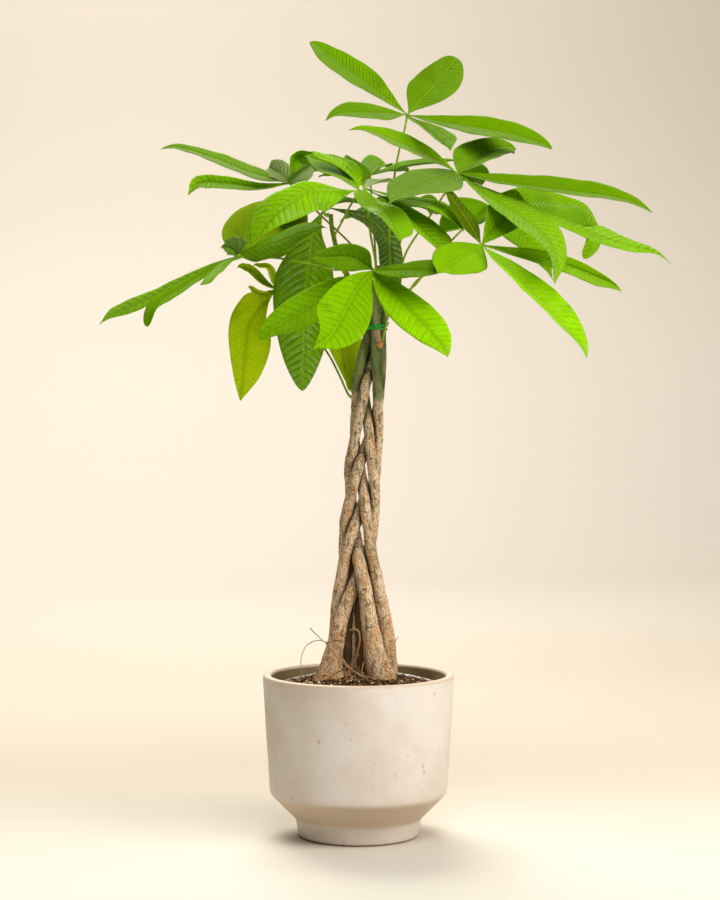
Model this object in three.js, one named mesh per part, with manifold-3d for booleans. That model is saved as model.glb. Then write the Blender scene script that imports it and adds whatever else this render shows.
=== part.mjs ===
// Potted money tree: five braided stems in a ceramic pot, with palmate fronds.
// Millimetres, +Z up. The origin is the middle of the pot's flat underside and the front faces -Y.
import * as THREE from 'three';
import { mergeVertices } from 'three/addons/utils/BufferGeometryUtils.js';
import Module from 'manifold-3d';

const wasm = await Module();
wasm.setup();

// Clearance between neighbouring pieces.
const GAP = 0.35;

// Pot: a tapered wall on a bevelled shoulder and a narrower foot.
const POT_HEIGHT = 135;
const POT_RIM_RADIUS = 80;
const POT_SHOULDER = { radius: 74.2, height: 37 };
const POT_FOOT = { radius: 52.4, height: 15, bottomRadius: 50.5 };
const POT_WALL = 7;
const POT_FLOOR = 9;
const POT_LIP_ROUND = 2.4;
const POT_SIDES = 36;

// Soil: a low mound, highest round the stems.
const SOIL_EDGE_HEIGHT = 122;
const SOIL_MOUND = 6.5;
const SOIL_LUMP = 0.9;
const SOIL_SIDES = 24;

// Stems: [height, across, depth] of each middle line from below the soil to the growing tip.
// flare is the radius at the soil, and fall the height over which the flare dies away.
const SOIL_LEVEL = 127;
const STEM_SIDES = 8;
const STEM_RINGS = 36;
const STEM_LOW_RADIUS = 4.9;
const STEM_HIGH_RADIUS = 3.9;
const STEM_LOW_HEIGHT = 190;
const TIE_HEIGHT = 424;
const STEM_TIP_RADIUS = 1.9;
const STEM_TAPER = 60;
const STEMS = [
  {
    flare: 11.5,
    fall: 20,
    path: [
      [92, -21, 14], [127, -23, 15.5], [143, -20.5, 13], [161, -19, 10], [189, -18, 4], [217, -14, -1],
      [231, -11.7, -3], [243, -9, -5], [256, -4.8, -5], [270, -0.5, 0.5], [284, 7, 3.5],
      [298, 13.8, 5.5], [319, 15.1, 4],
      [340, 16.3, 0], [363, 15.9, -2], [385, 14.6, -5], [402, 14.2, -7.5], [424, 14.2, -8.5], [440, 15, -5],
      [452, 16, -2], [475, 16.5, 2],
    ],
  },
  {
    flare: 13.5,
    fall: 23,
    path: [
      [92, -23, -6], [127, -24, -6], [147, -22, -6], [175, -15.8, -5], [189, -12, -4], [203, -6.3, -2],
      [217, 0, 3], [231, 6, 6], [243, 10, 7], [256, 12, 5], [270, 13, 2], [284, 13.4, -2], [298, 12.6, -4],
      [319, 10.1, -4], [340, 8.4, -3], [351, 7.1, 2], [363, 5.4, 7], [376, 4.6, 8], [390, 4.2, 7],
      [402, 6.2, 8], [412, 9, 7.5], [422, 10.4, 7], [434, 7, 7], [445, 0, 6],
      [472, -11.3, 4], [499, -21, 2], [518, -23, 0],
    ],
  },
  {
    flare: 10,
    fall: 25,
    path: [
      [92, 0, 12], [127, -1, 12], [161, -4, 10], [189, -4.6, 10], [203, -8, 9], [217, -10.5, 8],
      [231, -11.7, 7], [243, -11.5, 4], [256, -10, 1], [270, -8.8, -4], [284, -5.9, -6], [298, -2.9, -6],
      [312, 0.8, -4], [326, 7, 2], [340, 11, 6], [351, 14.5, 7], [363, 17, 6], [376, 18, 5.5],
      [390, 18.9, 3],
      [402, 19.2, 0], [415, 19, -1], [424, 19, -1.5], [434, 22, -4], [455, 30, -3],
    ],
  },
  {
    flare: 12,
    fall: 42,
    path: [
      [92, 19, -8], [127, 19.7, -9], [147, 14.2, -9], [161, 11.8, -8.5], [189, 7.7, -7.5], [203, 6, -7],
      [217, 2.9, -6.5], [231, 0, -5], [243, -2.1, 2], [256, -4.2, 7], [270, -5.9, 8.5], [284, -6.3, 5.5],
      [298, -6.3, 5], [312, -5.9, 0], [326, -3.3, -5], [340, -1.7, -5], [363, 3.4, -5], [376, 5.5, -4],
      [385, 7.5, 1], [396, 12, 6], [410, 16.5, 7.5], [424, 18.5, 7.5], [440, 20.5, 10], [470, 26, 13.5],
    ],
  },
  {
    flare: 9.5,
    fall: 30,
    path: [
      [92, 23, 12], [127, 23.5, 12], [147, 24.5, 8], [161, 24.5, 5], [189, 20.5, 1], [217, 15, -2],
      [231, 11.7, -3], [243, 9.6, -4.5], [256, 8.3, -5.5], [270, 5.6, -6], [284, 4.6, -6], [298, 2.1, 0],
      [312, -0.8, 5], [326, -3, 6], [340, -2.9, 4], [363, -1.3, 3], [376, -0.4, 0], [385, 0.4, -3],
      [402, 3.8, -4.5], [415, 7.4, -2.5], [424, 9.2, -1.8], [440, 9.8, -6], [462, 13.8, -8],
    ],
  },
];

// Tie: a soft band round all five stems.
const TIE_RADIUS = 1.2;
const TIE_TAIL = 4;
const TIE_SPREAD = 1.9;

// Fronds: the stem and height that each stalk springs from, points along the stalk, the hub, and the
// leaflets as [tip across, tip depth, tip height, width, roll in degrees, rise of the middle, pointedness].
const STALK_RADIUS = 1.1;
const HUB_RADIUS = 2.2;
const BLADE_THICKNESS = 0.8;
const BLADE_STEPS = 7;
const BLADE_FOLD = 0.2;
const FRONDS = {
  frond_crown: {
    stem: 4,
    height: 471,
    stalk: [[38, 10, 587], [34, 10, 572], [29, 9, 543], [26, 10, 510]],
    hub: [41, 10, 602],
    leaflets: [
      [-40, 30, 666, 36, 21, 1, 0.5],
      [84, 55, 656, 38, -19, 0, 0.0],
      [-27, -25, 592, 30, 19, 6, 0.3],
      [161, 0, 572, 38, -25, 3, 0.5],
      [74, -55, 565, 30, 14, 8, 0.3],
    ],
  },
  frond_right_upper: {
    stem: 3,
    height: 452,
    stalk: [[59, -18, 515], [38, -13, 482]],
    hub: [82, -20, 550],
    leaflets: [
      [-7, -35, 583, 36, 26, 6, 0.5],
      [132, 50, 576, 40, -17, 10, 0.1],
      [237, -60, 514, 42, -14, 7, 0.7],
      [159, -90, 479, 42, 0, 10, 0.3],
      [26, -95, 518, 42, 16, 6, 0.3],
      [106, 60, 548, 34, 12, 2, 0.3],
    ],
  },
  frond_right_front: {
    stem: 3,
    height: 437,
    stalk: [[74, -50, 475], [48, -38, 461], [40, -28, 450]],
    hub: [99, -60, 488],
    leaflets: [
      [60, -50, 527, 30, 10, 4, 0.4],
      [133, -20, 521, 40, -11, 5, 0.0],
      [68, -132, 463, 39, 10, 3, 0.0],
      [214, -40, 451, 38, -23, 7, 0.5],
      [180, -95, 396, 38, -10, 11, 0.5],
    ],
  },
  frond_front: {
    stem: 3,
    height: 414,
    stalk: [[17, -56, 450], [23, -34, 430]],
    hub: [12, -70, 467],
    leaflets: [
      [-35, -100, 479, 34, 37, 5, 0.2],
      [-78, -92, 414, 42, 29, 0, 0.2],
      [-32, -146, 403, 45, 20, 0, 0.0],
      [68, -130, 397, 44, -6, 1, 0.1],
      [79, -120, 463, 34, -18, 2, 0.3],
    ],
  },
  frond_middle: {
    stem: 5,
    height: 462,
    stalk: [[7, -28, 523], [10, -23, 499], [14, -16, 477]],
    hub: [5, -30, 537],
    leaflets: [
      [-41, -5, 569, 28, 3, 3, 0.5],
      [-17, 38, 568, 34, -20, 4, 0.0],
      [32, -95, 490, 40, 15, 8, 0.2],
      [28, 6, 546, 26, 1, 2, 0.3],
      [66, -60, 482, 34, -2, 9, 0.3],
    ],
  },
  frond_left_upper: {
    stem: 2,
    height: 500,
    stalk: [[-7, -36, 521], [-14, -22, 509]],
    hub: [1, -45, 533],
    leaflets: [
      [-84, -95, 485, 46, 24, 15, 0.1],
      [-57, 0, 559, 32, -36, 7, 0.4],
      [-39, 25, 549, 28, -5, 4, 0.4],
    ],
  },
  frond_left_back: {
    stem: 1,
    height: 470,
    stalk: [[-34, 46, 523], [-9, 30, 498], [6, 17, 481]],
    hub: [-59, 60, 550],
    leaflets: [
      [-170, 50, 579, 34, 17, 5, 0.6],
      [-144, 30, 538, 34, 15, 7, 0.4],
      [-116, 125, 566, 28, -2, 3, 0.4],
      [-77, 125, 574, 24, -60, 3, 0.0],
      [-39, 5, 559, 30, -43, 3, 0.3],
      [-31, 120, 568, 30, 14, 3, 0.3],
    ],
  },
  frond_left: {
    stem: 2,
    height: 470,
    stalk: [[-87, -23, 482], [-62, -29, 479], [-40, -30, 475], [-23, -22, 471]],
    hub: [-100, -20, 482],
    leaflets: [
      [-211, -40, 425, 36, 11, 0, 0.6],
      [-169, -75, 423, 38, -4, 8, 0.0],
      [-115, -90, 458, 28, -39, 3, 0.3],
      [-114, 42, 490, 24, -15, 2, 0.3],
      [-101, 36, 523, 34, 2, 5, 0.0],
      [-26, -35, 504, 40, -36, 0, 0.3],
    ],
  },
  side_shoot: {
    stem: 5,
    height: 366,
    stalk: [[-50, 34, 433], [-26, 24, 403], [-15, 12, 382]],
    hub: [-69, 30, 457],
    leaflets: [
      [-106, 50, 477, 24, 3, 2, 0.4],
      [-92, 90, 484, 28, -20, 4, 0.3],
      [-91, -30, 453, 24, 5, 1, 0.3],
      [-99, 10, 364, 44, 17, 11, 0.1],
    ],
  },
  side_shoot_small: {
    stem: 5,
    height: 372,
    stalk: [[-13, 12, 418], [-12, 7, 395]],
    hub: [-16, 16, 443],
    leaflets: [
      [-8, 10, 377, 28, -3, 0, 0.2],
      [-31, 50, 423, 22, 68, 4, 0.3],
      [-6, 55, 430, 22, -73, 4, 0.3],
    ],
  },
  frond_left_hanging: {
    stem: 2,
    height: 517,
    stalk: [],
    hub: [-28, 0, 524],
    leaflets: [
      [-47, 12, 372, 50, 83, 10, 0.3],
      [35, 38, 463, 34, -41, 24, 0.3],
      [6, 36, 530, 28, -7, 3, 0.3],
      [-67, 36, 515, 32, 21, 3, 0.3],
    ],
  },
  frond_right_back: {
    stem: 4,
    height: 447,
    stalk: [[99, 48, 519], [68, 36, 487], [45, 23, 458]],
    hub: [112, 50, 530],
    leaflets: [
      [80, -20, 529, 34, 22, 3, 0.2],
      [206, 55, 515, 42, -27, 9, 0.2],
      [202, 100, 485, 34, -26, 27, 0.3],
      [267, 45, 480, 40, -16, 5, 0.7],
      [165, 20, 461, 38, -5, 11, 0.2],
    ],
  },
  frond_back_right: {
    stem: 4,
    height: 456,
    stalk: [[39, 74, 509], [30, 48, 481]],
    hub: [46, 90, 535],
    leaflets: [
      [86, 60, 517, 34, -4, 4, 0.3],
      [105, 130, 510, 34, -28, 4, 0.4],
      [66, 195, 535, 36, -15, 5, 0.4],
      [12, 180, 540, 34, 8, 5, 0.3],
      [-17, 120, 522, 32, 20, 4, 0.3],
    ],
  },
  frond_back_left: {
    stem: 1,
    height: 459,
    stalk: [[12, 50, 524], [14, 24, 492]],
    hub: [10, 70, 558],
    leaflets: [
      [86, 80, 571, 34, -12, 3, 0.4],
      [25, 165, 578, 30, -8, 3, 0.3],
      [44, 140, 568, 28, 10, 2, 0.3],
      [-20, 150, 569, 30, -10, 2, 0.3],
      [-35, 90, 558, 32, 13, 3, 0.3],
    ],
  },
};

const vec = (x, y, z) => new THREE.Vector3(x, y, z);
const UP = vec(0, 0, 1);

// A closed solid from a closed geometry, with its faces turned outwards.
function solidOf(geometry) {
  geometry.deleteAttribute('normal');
  geometry.deleteAttribute('uv');
  const merged = mergeVertices(geometry, 1e-4);
  const corners = Uint32Array.from(merged.index.array);
  const solid = new wasm.Manifold(new wasm.Mesh({
    numProp: 3,
    vertProperties: Float32Array.from(merged.attributes.position.array),
    triVerts: corners,
  }));
  if (solid.volume() > 0) return solid;
  return new wasm.Manifold(new wasm.Mesh({
    numProp: 3,
    vertProperties: Float32Array.from(merged.attributes.position.array),
    triVerts: corners.reverse(),
  }));
}

function geometryOf(solid) {
  const { vertProperties, triVerts } = solid.getMesh();
  const geometry = new THREE.BufferGeometry();
  geometry.setAttribute('position', new THREE.BufferAttribute(Float32Array.from(vertProperties), 3));
  geometry.setIndex(new THREE.BufferAttribute(Uint32Array.from(triVerts), 1));
  geometry.computeVertexNormals();
  return geometry;
}

function piece(name, solid, color, roughness) {
  const material = new THREE.MeshStandardMaterial({ color, roughness, metalness: 0 });
  const mesh = new THREE.Mesh(geometryOf(solid), material);
  mesh.name = name;
  return mesh;
}

// Lathe turns its outline round Y, so the result is stood up along Z.
function turned(outline, sides) {
  const points = outline.map(([radius, height]) => new THREE.Vector2(radius, height));
  return new THREE.LatheGeometry(points, sides).rotateX(Math.PI / 2);
}

// Points of an arc from one angle to another, in degrees, round a middle.
function arc(middle, radius, from, to, steps) {
  return Array.from({ length: steps + 1 }, (_, i) => {
    const angle = THREE.MathUtils.degToRad(from + ((to - from) * i) / steps);
    return [middle[0] + radius * Math.cos(angle), middle[1] + radius * Math.sin(angle)];
  });
}

function pot() {
  const inner = POT_RIM_RADIUS - POT_WALL;
  const lipHeight = POT_HEIGHT - POT_LIP_ROUND;
  const outline = [
    [0, 0],
    ...arc([POT_FOOT.bottomRadius - 1.5, 1.5], 1.5, -90, -10, 2),
    [POT_FOOT.radius, POT_FOOT.height - 1.5],
    [POT_FOOT.radius + 1.2, POT_FOOT.height + 0.4],
    [POT_SHOULDER.radius - 2.2, POT_SHOULDER.height - 3],
    [POT_SHOULDER.radius - 0.4, POT_SHOULDER.height - 0.4],
    [POT_SHOULDER.radius + 0.2, POT_SHOULDER.height + 3],
    ...arc([POT_RIM_RADIUS - POT_LIP_ROUND, lipHeight], POT_LIP_ROUND, 0, 90, 3),
    ...arc([inner + POT_LIP_ROUND, lipHeight], POT_LIP_ROUND, 90, 180, 3),
    [POT_SHOULDER.radius - POT_WALL, POT_SHOULDER.height + 3],
    [POT_FOOT.radius - POT_WALL, POT_FLOOR + 6],
    [POT_FOOT.radius - POT_WALL - 4, POT_FLOOR],
    [0, POT_FLOOR],
  ];
  return solidOf(turned(outline, POT_SIDES));
}

// Smooth middle line of a stem, sampled at even heights.
function middleLine(path) {
  const points = path.map(([z, x, y]) => vec(x, y, z));
  const curve = new THREE.CatmullRomCurve3(points, false, 'catmullrom', 0.5);
  const dense = curve.getPoints(path.length * 12);
  const [bottom, top] = [path[0][0], path.at(-1)[0]];
  return Array.from({ length: STEM_RINGS * 3 + 1 }, (_, i) => {
    const height = bottom + ((top - bottom) * i) / (STEM_RINGS * 3);
    const above = Math.max(1, dense.findIndex((p) => p.z >= height - 1e-6));
    const [p, q] = [dense[above - 1], dense[above]];
    return p.clone().lerp(q, (height - p.z) / (q.z - p.z)).setZ(height);
  });
}

function stemRadius(stem, height) {
  const rise = (height - STEM_LOW_HEIGHT) / (TIE_HEIGHT - STEM_LOW_HEIGHT);
  const body = THREE.MathUtils.lerp(STEM_LOW_RADIUS, STEM_HIGH_RADIUS, Math.min(rise, 1));
  const flare = (stem.flare - body) * Math.exp(-Math.max(height - SOIL_LEVEL, 0) / stem.fall);
  const buried = Math.max(SOIL_LEVEL - height, 0) * 0.09;
  const thin = THREE.MathUtils.clamp((height - TIE_HEIGHT - 4) / STEM_TAPER, 0, 1);
  return THREE.MathUtils.lerp(body + flare - buried, STEM_TIP_RADIUS, thin ** 0.7);
}

// Pushes neighbouring middle lines apart where the braid crosses, so that every pair keeps its clearance.
function easeApart(lines, radii) {
  const [rounds, lastRounds] = [200, 16];
  const homes = lines.map((line) => line.map((p) => p.clone()));
  for (let round = 0; round < rounds; round += 1) {
    for (let i = 0; i < lines.length; i += 1) {
      for (let j = i + 1; j < lines.length; j += 1) {
        partPair(lines[i], lines[j], radii[i], radii[j]);
      }
    }
    if (round < rounds - lastRounds) lines.forEach((line, i) => easeBack(line, homes[i]));
  }
}

// Moves two middle lines apart, mostly in depth, wherever they come closer than their radii and clearance.
function partPair(a, b, radiusA, radiusB) {
  const reach = 9;
  const stepB = b[1].z - b[0].z;
  a.forEach((p, i) => {
    const twin = Math.round((p.z - b[0].z) / stepB);
    const low = Math.max(0, twin - reach);
    const high = Math.min(b.length - 1, twin + reach);
    for (let k = low; k <= high; k += 1) {
      const q = b[k];
      const away = p.clone().sub(q);
      const wanted = radiusA[i] + radiusB[k] + 1.9 * GAP;
      const lacking = wanted - away.length();
      if (lacking <= 0) continue;
      const flat = away.setZ(0);
      if (flat.length() < 1e-3) flat.set(0, 1, 0);
      flat.x *= 0.35;
      flat.normalize().multiplyScalar(lacking * 0.25);
      p.add(flat);
      q.sub(flat);
    }
  });
}

// Spreads a line's push evenly along it, and draws it back towards its own place from side to side.
function easeBack(line, home) {
  const moved = line.map((p, i) => p.clone().sub(home[i]));
  for (let i = 1; i < line.length - 1; i += 1) {
    const even = moved[i - 1].clone().add(moved[i + 1]).multiplyScalar(0.5);
    line[i].x = home[i].x + THREE.MathUtils.lerp(moved[i].x, even.x, 0.5) * 0.97;
    line[i].y = home[i].y + THREE.MathUtils.lerp(moved[i].y, even.y, 0.5);
  }
}

// A tube with level rings along a middle line. Each ring is widened along its lean, so the tube stays round.
function stemSolid(line, radii, extra = 0) {
  const geometry = new THREE.CylinderGeometry(1, 1, 1, STEM_SIDES, STEM_RINGS);
  const corners = geometry.attributes.position;
  for (let i = 0; i < corners.count; i += 1) {
    const ring = Math.round((corners.getY(i) + 0.5) * STEM_RINGS) * 3;
    const centre = line[ring];
    const lean = line[Math.min(ring + 1, line.length - 1)].clone().sub(line[Math.max(ring - 1, 0)]);
    lean.divideScalar(lean.z).setZ(0);
    const spoke = vec(corners.getX(i), -corners.getZ(i), 0).multiplyScalar(radii[ring] + extra);
    const slope = lean.length();
    const widening = slope > 1e-6 ? (Math.hypot(1, slope) - 1) / slope ** 2 : 0;
    spoke.addScaledVector(lean, spoke.dot(lean) * widening);
    const end = ring === 0 ? -extra : 0;
    corners.setXYZ(i, centre.x + spoke.x, centre.y + spoke.y, centre.z + end);
  }
  return solidOf(geometry);
}

// Even noise from a place, between -1 and 1.
function lump(x, y) {
  return Math.sin(x * 0.41 + 1.3) * Math.cos(y * 0.37 - 0.4) * 0.6 + Math.sin(x * 0.93 - y * 0.71) * 0.4;
}

// Soil fills the pot to below the rim and has a plain hole round each stem.
function soil(stems) {
  const edge = POT_RIM_RADIUS - POT_WALL - GAP;
  const wallAt = (height) => {
    const share = (height - POT_SHOULDER.height - 3) / (POT_HEIGHT - POT_SHOULDER.height - 3);
    return THREE.MathUtils.lerp(POT_SHOULDER.radius - POT_WALL, edge + GAP, share) - 2 * GAP;
  };
  const floor = POT_FLOOR + GAP;
  const rings = 6;
  const outline = [
    [0, floor],
    [POT_FOOT.radius - POT_WALL - 4 - GAP, floor],
    [POT_FOOT.radius - POT_WALL - 2 * GAP, POT_FLOOR + 6 + GAP],
    [wallAt(POT_SHOULDER.height + 3), POT_SHOULDER.height + 3 + GAP],
    ...Array.from({ length: rings }, (_, i) => {
      const radius = wallAt(SOIL_EDGE_HEIGHT) * (1 - i / rings);
      return [radius, SOIL_EDGE_HEIGHT + SOIL_MOUND * (1 - (radius / edge) ** 2)];
    }),
    [0, SOIL_EDGE_HEIGHT + SOIL_MOUND],
  ];
  const geometry = turned(outline, SOIL_SIDES);
  const corners = geometry.attributes.position;
  for (let i = 0; i < corners.count; i += 1) {
    const [x, y, z] = [corners.getX(i), corners.getY(i), corners.getZ(i)];
    if (z > SOIL_EDGE_HEIGHT - 2) corners.setZ(i, z + lump(x, y) * SOIL_LUMP);
  }
  const holes = stems.map(({ line, radii }) => stemSolid(line, radii, GAP));
  return holes.reduce((mound, hole) => mound.subtract(hole), solidOf(geometry));
}

// Furthest reach of the stems at the tie's height, in a direction.
function reach(stems, angle) {
  const facing = vec(Math.cos(angle), Math.sin(angle), 0);
  const reaches = stems.flatMap(({ line, radii }) => line.map((p, i) => {
    const near = Math.abs(p.z - TIE_HEIGHT) < 2 * TIE_RADIUS;
    return near ? p.dot(facing) + radii[i] * 1.05 : 0;
  }));
  return Math.max(...reaches);
}

// A soft band that follows the outside of the bundled stems, with a short tail at its knot.
function tie(stems) {
  const corners = 30;
  const step = (2 * Math.PI) / corners;
  const loop = Array.from({ length: corners }, (_, i) => {
    const angle = i * step;
    const out = reach(stems, angle) + GAP + TIE_RADIUS;
    const turn = (reach(stems, angle + step / 2) - reach(stems, angle - step / 2)) / step;
    const x = out * Math.cos(angle) - turn * Math.sin(angle);
    const y = out * Math.sin(angle) + turn * Math.cos(angle);
    return vec(x, y, 0);
  });
  const path = new THREE.CatmullRomCurve3(loop, true);
  const ring = solidOf(new THREE.TubeGeometry(path, 32, TIE_RADIUS, 6, true));
  const band = ring.scale([1, 1, TIE_SPREAD]).translate([0, 0, TIE_HEIGHT]);
  const knot = loop[corners - 2].clone().setZ(TIE_HEIGHT);
  const end = knot.clone().add(vec(1, -0.4, 0.3).multiplyScalar(TIE_TAIL));
  const tail = tube([knot, end], TIE_RADIUS, 2);
  return band.add(tail);
}

// A stalk or wire: a six-sided section drawn along a smooth line.
function tube(points, radius, steps) {
  const section = new THREE.Shape(arc([0, 0], radius, 0, 300, 5).map(([x, y]) => new THREE.Vector2(x, y)));
  const extrudePath = new THREE.CatmullRomCurve3(points);
  return solidOf(new THREE.ExtrudeGeometry(section, { steps, bevelEnabled: false, extrudePath }));
}

// Gives an open sheet a thickness: two faces split alike, joined by a rim.
function thicken(sheet, thickness) {
  sheet.computeVertexNormals();
  const { position, normal } = sheet.attributes;
  const faces = Array.from(sheet.index.array);
  const places = [];
  for (const side of [0.5, -0.5]) {
    for (let i = 0; i < position.count; i += 1) {
      const place = new THREE.Vector3().fromBufferAttribute(position, i);
      place.addScaledVector(new THREE.Vector3().fromBufferAttribute(normal, i), side * thickness);
      places.push(...place.toArray());
    }
  }
  const under = faces.map((corner) => corner + position.count).reverse();
  const edges = new Set();
  for (let i = 0; i < faces.length; i += 3) {
    for (let k = 0; k < 3; k += 1) edges.add(`${faces[i + k]},${faces[i + ((k + 1) % 3)]}`);
  }
  const rim = [...edges]
    .map((edge) => edge.split(',').map(Number))
    .filter(([a, b]) => !edges.has(`${b},${a}`))
    .flatMap(([a, b]) => [a, a + position.count, b + position.count, a, b + position.count, b]);
  const blade = new THREE.BufferGeometry();
  blade.setAttribute('position', new THREE.Float32BufferAttribute(places, 3));
  blade.setIndex([...faces, ...under, ...rim]);
  return blade;
}

// Half width of a leaflet along its length, as a share of the greatest half width.
function outlineAt(along, point) {
  const [swell, narrow] = [0.8, THREE.MathUtils.lerp(0.55, 0.95, point)];
  const widest = swell / (swell + narrow);
  const most = widest ** swell * (1 - widest) ** narrow;
  return (along ** swell * (1 - along) ** narrow) / most;
}

// A leaflet: a thin blade from the hub to its tip, bowed along its rib and folded up from it on both sides.
function leaflet(hub, [x, y, z, width, roll, rise, point]) {
  const chord = vec(x, y, z).sub(hub);
  const ahead = chord.clone().normalize();
  const level = ahead.clone().cross(UP).normalize();
  const over = level.clone().cross(ahead);
  const turn = THREE.MathUtils.degToRad(roll);
  const across = level.clone().multiplyScalar(Math.cos(turn)).addScaledVector(over, Math.sin(turn));
  const face = over.clone().multiplyScalar(Math.cos(turn)).addScaledVector(level, -Math.sin(turn));
  const sheet = new THREE.PlaneGeometry(2, 1, 2, BLADE_STEPS);
  const corners = sheet.attributes.position;
  for (let i = 0; i < corners.count; i += 1) {
    const side = corners.getX(i);
    const along = (1 - Math.cos(Math.PI * (0.5 - corners.getY(i)))) / 2;
    const half = Math.max((width / 2) * outlineAt(along, point), along > 0.5 ? 0.4 : 0.9);
    const place = hub.clone().addScaledVector(chord, along);
    place.addScaledVector(over, rise * 4 * along * (1 - along));
    place.addScaledVector(across, side * half);
    place.addScaledVector(face, Math.abs(side) * half * BLADE_FOLD);
    corners.setXYZ(i, place.x, place.y, place.z);
  }
  return solidOf(thicken(sheet, BLADE_THICKNESS));
}

// Where a stalk leaves its stem: on the bark, facing the stalk's first point, or on top of the stem's tip.
function rootOf({ line, radii }, height, towards) {
  if (height >= line.at(-1).z) {
    const top = line.at(-1).clone().add(vec(0, 0, GAP));
    return [top, top.clone().add(vec(0, 0, 2))];
  }
  const ring = line.findIndex((p) => p.z >= height);
  const out = towards.clone().sub(line[ring]).setZ(0).normalize();
  const root = line[ring].clone().addScaledVector(out, radii[ring] * 1.04 + GAP);
  return [root, root.clone().addScaledVector(out, 3).add(vec(0, 0, 1.2))];
}

// One frond in one solid: its stalk, a small hub and the leaflets that spread from it.
function frond(stems, { stem, height, stalk, hub, leaflets }) {
  const middle = vec(...hub);
  const route = stalk.map((p) => vec(...p));
  const [root, elbow] = rootOf(stems[stem - 1], height, route.length ? route.at(-1) : middle);
  const stalkPoints = [root, elbow, ...route.reverse(), middle];
  const knob = new THREE.OctahedronGeometry(HUB_RADIUS).translate(...hub);
  const parts = [tube(stalkPoints, STALK_RADIUS, stalkPoints.length * 2), solidOf(knob)];
  parts.push(...leaflets.map((blade) => leaflet(middle, blade)));
  return parts.reduce((whole, part) => whole.add(part));
}

const lines = STEMS.map(({ path }) => middleLine(path));
const radii = STEMS.map((stem, i) => lines[i].map((p) => stemRadius(stem, p.z)));
easeApart(lines, radii);
const stems = STEMS.map((_, i) => ({ line: lines[i], radii: radii[i] }));

const tree = new THREE.Group();
tree.name = 'potted_money_tree';
tree.add(piece('pot', pot(), 0xd9cbb8, 0.75));
tree.add(piece('soil', soil(stems), 0x3a281c, 0.95));
stems.forEach(({ line, radii: sizes }, i) => {
  tree.add(piece(`stem_${i + 1}`, stemSolid(line, sizes), 0x8a6848, 0.85));
});
tree.add(piece('tie', tie(stems), 0x0f7a3a, 0.45));
for (const [name, shape] of Object.entries(FRONDS)) {
  tree.add(piece(name, frond(stems, shape), 0x5fa51c, 0.5));
}

export default tree;
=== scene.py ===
"""Dresses the potted money tree: glazed pot, loose soil, braided bark, wire tie, rootlets and veined fronds.

The tables hold millimetres. Meshes are made in metres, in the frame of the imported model.
EYE is where the camera of the photograph stands.
"""

import logging
import math
import random
from dataclasses import dataclass
from enum import Enum
from typing import Any, Callable

import bpy
import numpy as np
from mathutils import Euler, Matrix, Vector, noise

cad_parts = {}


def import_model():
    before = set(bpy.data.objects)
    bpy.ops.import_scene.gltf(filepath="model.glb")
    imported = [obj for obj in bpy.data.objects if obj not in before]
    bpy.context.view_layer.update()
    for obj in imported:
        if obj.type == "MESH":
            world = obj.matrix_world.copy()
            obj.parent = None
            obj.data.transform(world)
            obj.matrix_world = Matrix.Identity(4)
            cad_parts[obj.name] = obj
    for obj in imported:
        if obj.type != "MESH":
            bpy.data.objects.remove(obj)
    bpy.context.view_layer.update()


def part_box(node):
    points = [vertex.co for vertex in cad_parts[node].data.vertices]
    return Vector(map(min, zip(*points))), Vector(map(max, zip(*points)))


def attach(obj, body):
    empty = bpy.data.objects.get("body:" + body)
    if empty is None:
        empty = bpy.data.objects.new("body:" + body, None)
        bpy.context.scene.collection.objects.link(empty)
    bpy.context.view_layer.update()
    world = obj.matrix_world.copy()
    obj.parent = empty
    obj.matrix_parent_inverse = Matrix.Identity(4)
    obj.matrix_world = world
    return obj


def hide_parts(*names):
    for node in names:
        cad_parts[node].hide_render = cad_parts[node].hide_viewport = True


MM = 0.001
UP = np.array([0.0, 0.0, 1.0])
BODY = "root"
EYE = np.array([1.26, -1734.2, 363.5])
LOG = logging.getLogger("money_tree")

Point = tuple[float, float, float]
Span = tuple[float, float]


class Slot(Enum):
    """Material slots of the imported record."""

    CERAMIC = "ceramic"
    SOIL = "soil"
    BARK = "bark"
    TIE = "tie_plastic"
    LEAF = "leaf"


class Tone(Enum):
    """Base colour of a leaflet's upper face, from its age, and lighter or darker as painted light."""

    BRIGHT = (0.330, 0.720, 0.001)
    LIME = (0.220, 0.500, 0.002)
    GREEN = (0.150, 0.360, 0.004)
    VIVID = (0.480, 1.000, 0.002)
    # GREY: pale grey-green of leaflets that mirror the pale wall, a painted reflection.
    GREY = (0.800, 0.980, 0.420)
    YOUNG = (0.370, 0.560, 0.008)
    YELLOW = (0.780, 1.000, 0.008)
    SHADE = (0.110, 0.190, 0.002)


def deselect() -> None:
    """Clears the selection, so that an operator acts on its own object alone."""
    for ob in bpy.context.selected_objects:
        ob.select_set(False)


def choose(*objects: bpy.types.Object) -> None:
    """Selects objects and makes the first one active.

    Args:
        objects: The objects that the next operator works on.
    """
    deselect()
    for ob in objects:
        ob.select_set(True)
    bpy.context.view_layer.objects.active = objects[0]


def corners(ob: bpy.types.Object) -> np.ndarray:
    """Reads a mesh's corners.

    Args:
        ob: A mesh object.

    Returns:
        One row of x, y and z for each vertex.
    """
    flat = np.empty(len(ob.data.vertices) * 3, dtype=np.float32)
    ob.data.vertices.foreach_get("co", flat)
    return flat.reshape(-1, 3).astype(float)


def place_corners(ob: bpy.types.Object, places: np.ndarray) -> None:
    """Moves a mesh's corners to rows of x, y and z."""
    ob.data.vertices.foreach_set("co", places.astype(np.float32).ravel())
    ob.data.update()


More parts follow.
